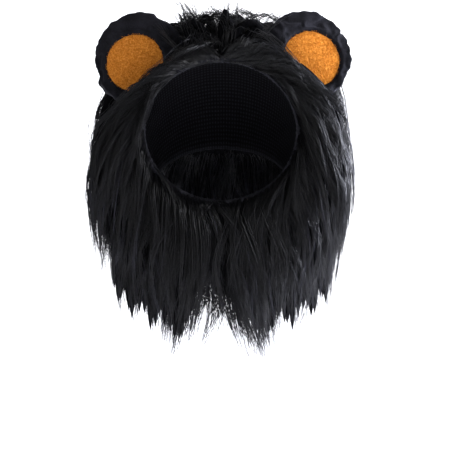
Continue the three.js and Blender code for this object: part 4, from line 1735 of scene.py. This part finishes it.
    def strays(self) -> tuple[Points, Points, Points]:
        """Single strands that cross the others or stand off the outline.

        Returns:
            Lines, radii and shades.
        """
        along, around, draw = self.roots(self.stray_count, 2)
        count = len(along)
        length = self.length * draw.uniform(0.5, 1.05, count)
        lift = draw.uniform(0.5, 1.1, count) * mix(1, 0.6, self.flow.top(around))
        depth = self.depth * draw.uniform(0.8, 1.15, count) * mix(1, 0.6, self.flow.top(around))
        steps = 8
        length *= self.flow.trim(around)
        lines = self.flow.lines(
            along, around, length, lift, depth, steps, draw.normal(0, 0.3, count), draw.uniform(0, 0.7, count),
            draw.normal(0, 0.4, count))
        share = np.linspace(0, 1, steps + 1)
        lines += (draw.normal(0, 1, (count, 1, 3)) * 3 * MM) * (share ** 1.6)[None, :, None]
        lines = self.tidy(lines, draw)
        radii = 0.6 * self.strand_radius * ((1 - share ** 2) * 0.8 + 0.2)[None] * np.ones((count, 1))
        return self.flow.contain(lines, self.stray_slack), radii, draw.uniform(0.5, 1.0, count)

    def wisps(self) -> tuple[Points, Points, Points]:
        """Short wisps that stand up from the crown between the ears, fanned out.

        Returns:
            Lines, radii and shades.
        """
        draw = np.random.default_rng(7)
        each, steps = self.wisps_in_bunch, 8
        bunch = self.wisp_count // each
        along = np.repeat(draw.uniform(0.02, 0.34, bunch), each) + draw.normal(0, 0.015, bunch * each)
        around = np.repeat(draw.uniform(-0.5, 0.5, bunch), each) + draw.normal(0, 0.025, bunch * each)
        lean = np.repeat(draw.normal(0, 0.5, bunch), each) + draw.normal(0, 0.07, bunch * each)
        length = np.repeat(draw.uniform(*self.wisp_length, bunch), each)
        length = length * draw.uniform(0.7, 1, bunch * each) * MM
        bend = np.repeat(draw.normal(0, 0.45, bunch), each) + draw.normal(0, 0.09, bunch * each)
        point = self.flow.hood.point(np.clip(along, 0.01, 1), around, self.flow.hood.wall + MM)
        lines = [point]
        for i in range(steps):
            t = i / steps
            side = np.sin(around * 1.1 + lean + bend * t)
            heading = np.stack([side, 0.25 * np.sin(lean * 5) - 0.1 * t, np.cos(lean) - 0.5 * t * t], 1)
            point = point + unit(heading) * (length / steps)[:, None]
            lines.append(point)
        lines = np.stack(lines, 1)
        share = np.linspace(0, 1, steps + 1)
        radii = 1.3 * self.strand_radius * ((1 - share ** 1.5) * 0.9 + 0.1)[None] * np.ones((len(lines), 1))
        return self.flow.contain(lines), radii, draw.uniform(0.1, 0.6, len(lines))

    def undercoat(self) -> bpy.types.Object:
        """Soft locks under the strands, which close the mane to the light.

        Returns:
            The undercoat.
        """
        lines, radii, shade = [], [], []
        steps = 10
        share = np.linspace(0, 1, steps + 1)
        for row, (along, count, reach) in enumerate(self.rows):
            around = (np.arange(count) + 0.5 * (row % 2)) / count * 2 * math.pi - math.pi
            full = np.full(count, along)
            beside = (1 - self.flow.top(around)) * (1 - self.flow.bib(around))
            depth = mix(10, 15, beside) * MM
            length = np.full(count, self.length * reach) * (0.9 + 0.1 * np.sin(around * 23 + 40 * along))
            length *= (1 - 0.24 * self.flow.bib(around)) * self.flow.trim(around)
            lines.append(self.flow.lines(full, around, length, mix(0.55, 0.8, beside), depth, steps))
            belly = np.sin(math.pi * np.clip(share * 0.78 + 0.22, 0, 1)) ** 0.6
            width = mix(3.0, 4.2, along) * MM * belly + 0.1 * MM
            radii.append(np.repeat(width[None], count, axis=0))
            shade.append(np.zeros(count))
        strands = [np.concatenate(part) for part in (lines, radii, shade)]
        return self.piece("undercoat", strands, 5, DenseUndercoat())

    def piece(self, word: str, strands: tuple | list, sides: int, finish: Finish) -> bpy.types.Object:
        """Makes strands one piece of the mane.

        Args:
            word: the piece's own word in its name.
            strands: lines, radii and shades.
            sides: how many sides each strand has.
            finish: its finish.

        Returns:
            The piece.
        """
        made = strand_mesh(f"mane_{word}", *strands, sides)
        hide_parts("mane")
        return dress_strands(made, finish)

    def build(self) -> list[bpy.types.Object]:
        """Makes the undercoat, the clumps in several pieces, the fringe, the strays and the wisps.

        Returns:
            The pieces.
        """
        undercoat, body = self.undercoat(), self.body()
        cuts = np.linspace(0, len(body[0]), self.pieces + 1).astype(int)
        groups = [
            (f"strands_{k + 1}", [part[cuts[k]:cuts[k + 1]] for part in body]) for k in range(self.pieces)]
        groups += [("rim", self.rim()), ("strays", self.strays()), ("wisps", self.wisps())]
        return [undercoat, *[self.piece(word, strands, 3, SyntheticPile()) for word, strands in groups]]


@dataclass(frozen=True)
class Lamp:
    """An area lamp: its place, its width, its power in watts and its colour."""

    name: str
    place: tuple[float, float, float]
    size: float
    power: float
    colour: str

    def build(self, aim: Vector) -> None:
        """Hangs the lamp and turns it to the wig.

        Args:
            aim: the point that it is turned to.
        """
        data = bpy.data.lights.new(self.name, "AREA")
        data.size, data.energy = self.size, self.power
        data.color = linear(self.colour)[:3]
        lamp = bpy.data.objects.new(self.name, data)
        lamp.location = Vector(self.place)
        lamp.rotation_euler = (aim - lamp.location).to_track_quat("-Z", "Y").to_euler()
        bpy.context.scene.collection.objects.link(lamp)


@dataclass
class Studio:
    """The white sweep, the lamps and the camera at the height of the face opening."""

    scale: float = 0.68 * MM
    frame_px: float = 470
    face_px: tuple[float, float] = (221, 132)
    lens: float = 85
    sensor: float = 36
    elevation: float = math.radians(3)
    floor_drop: float = 232 * MM
    lamp_aim: tuple[float, float, float] = (0, 0, -0.07)
    daylight: float = 0.2
    lamps: tuple[Lamp, ...] = (
        Lamp("key", (1.02, -0.3, 0.42), 0.45, 15, "#fdfdff"),
        Lamp("fill", (-0.9, -0.8, 0.1), 0.8, 1.8, "#ffffff"),
        Lamp("top", (0.1, 0.1, 1.0), 0.7, 2, "#ffffff"),
        Lamp("edge_right", (0.9, 0.08, 0.25), 0.4, 40, "#ebeeff"),
        Lamp("edge_left", (-0.7, 0.5, 0.2), 0.4, 3, "#f2f4ff"))

    def build(self) -> None:
        """Makes the sweep, the camera and the lamps."""
        self.sweep()
        self.camera()
        self.light()

    def sweep(self) -> None:
        """A floor that curves up to a wall behind."""
        low = float(HOOD.face_middle[2]) - self.floor_drop
        deselect()
        bpy.ops.mesh.primitive_plane_add(size=6, location=(0, -1.2, low))
        sweep = bpy.context.object
        with editing():
            select_by(sweep, "EDGE", lambda p: p.y > 2.9)
            bpy.ops.mesh.extrude_edges_move(TRANSFORM_OT_translate={"value": (0, 0, 3.5)})
            select_by(sweep, "EDGE", lambda p: p.y > 2.9 and abs(p.z) < 0.01)
            bpy.ops.mesh.bevel(offset=0.9, segments=24)
        apply_place()
        bpy.ops.object.shade_smooth()
        sweep.name = "studio_sweep"
        sweep.data.materials.append(SeamlessPaper().build())

    def camera(self) -> None:
        """Sets the camera so that the face opening's plane has the photograph's scale."""
        width = self.frame_px * self.scale
        distance = width * self.lens / self.sensor
        middle = self.frame_px / 2
        aim = Vector(HOOD.face_middle) + Vector((
            (middle - self.face_px[0]) * self.scale, 0, (self.face_px[1] - middle) * self.scale))
        back = Vector((0, -math.cos(self.elevation), math.sin(self.elevation)))
        data = bpy.data.cameras.new("camera")
        data.lens, data.sensor_width = self.lens, self.sensor
        camera = bpy.data.objects.new("camera", data)
        camera.location = aim + back * distance
        camera.rotation_euler = (-back).to_track_quat("-Z", "Y").to_euler()
        bpy.context.scene.collection.objects.link(camera)
        bpy.context.scene.camera = camera

    def light(self) -> None:
        """A large key from the right, a weak fill from the left, a top light and two cool edge lights."""
        for lamp in self.lamps:
            lamp.build(Vector(self.lamp_aim))
        world = bpy.data.worlds.new("studio")
        world.use_nodes = True
        feed(world.node_tree, world.node_tree.nodes["Background"], {
            "Color": linear("#ffffff"), "Strength": self.daylight})
        bpy.context.scene.world = world
        bpy.context.scene.view_settings.view_transform = "Standard"


def write_sizes() -> None:
    """Updates the scene's view layer after the build."""
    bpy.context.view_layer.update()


def main() -> None:
    """Builds the wig piece by piece, then the studio."""
    Studio().build()
    parts = [ClothHood(), FaceHem(), ThroatTape(), *[StuffedEar(side) for side in Side], Mane()]
    for part in parts:
        part.build()
        log.info("%s done", type(part).__name__)
    write_sizes()


if __name__ == "__main__":
    main()
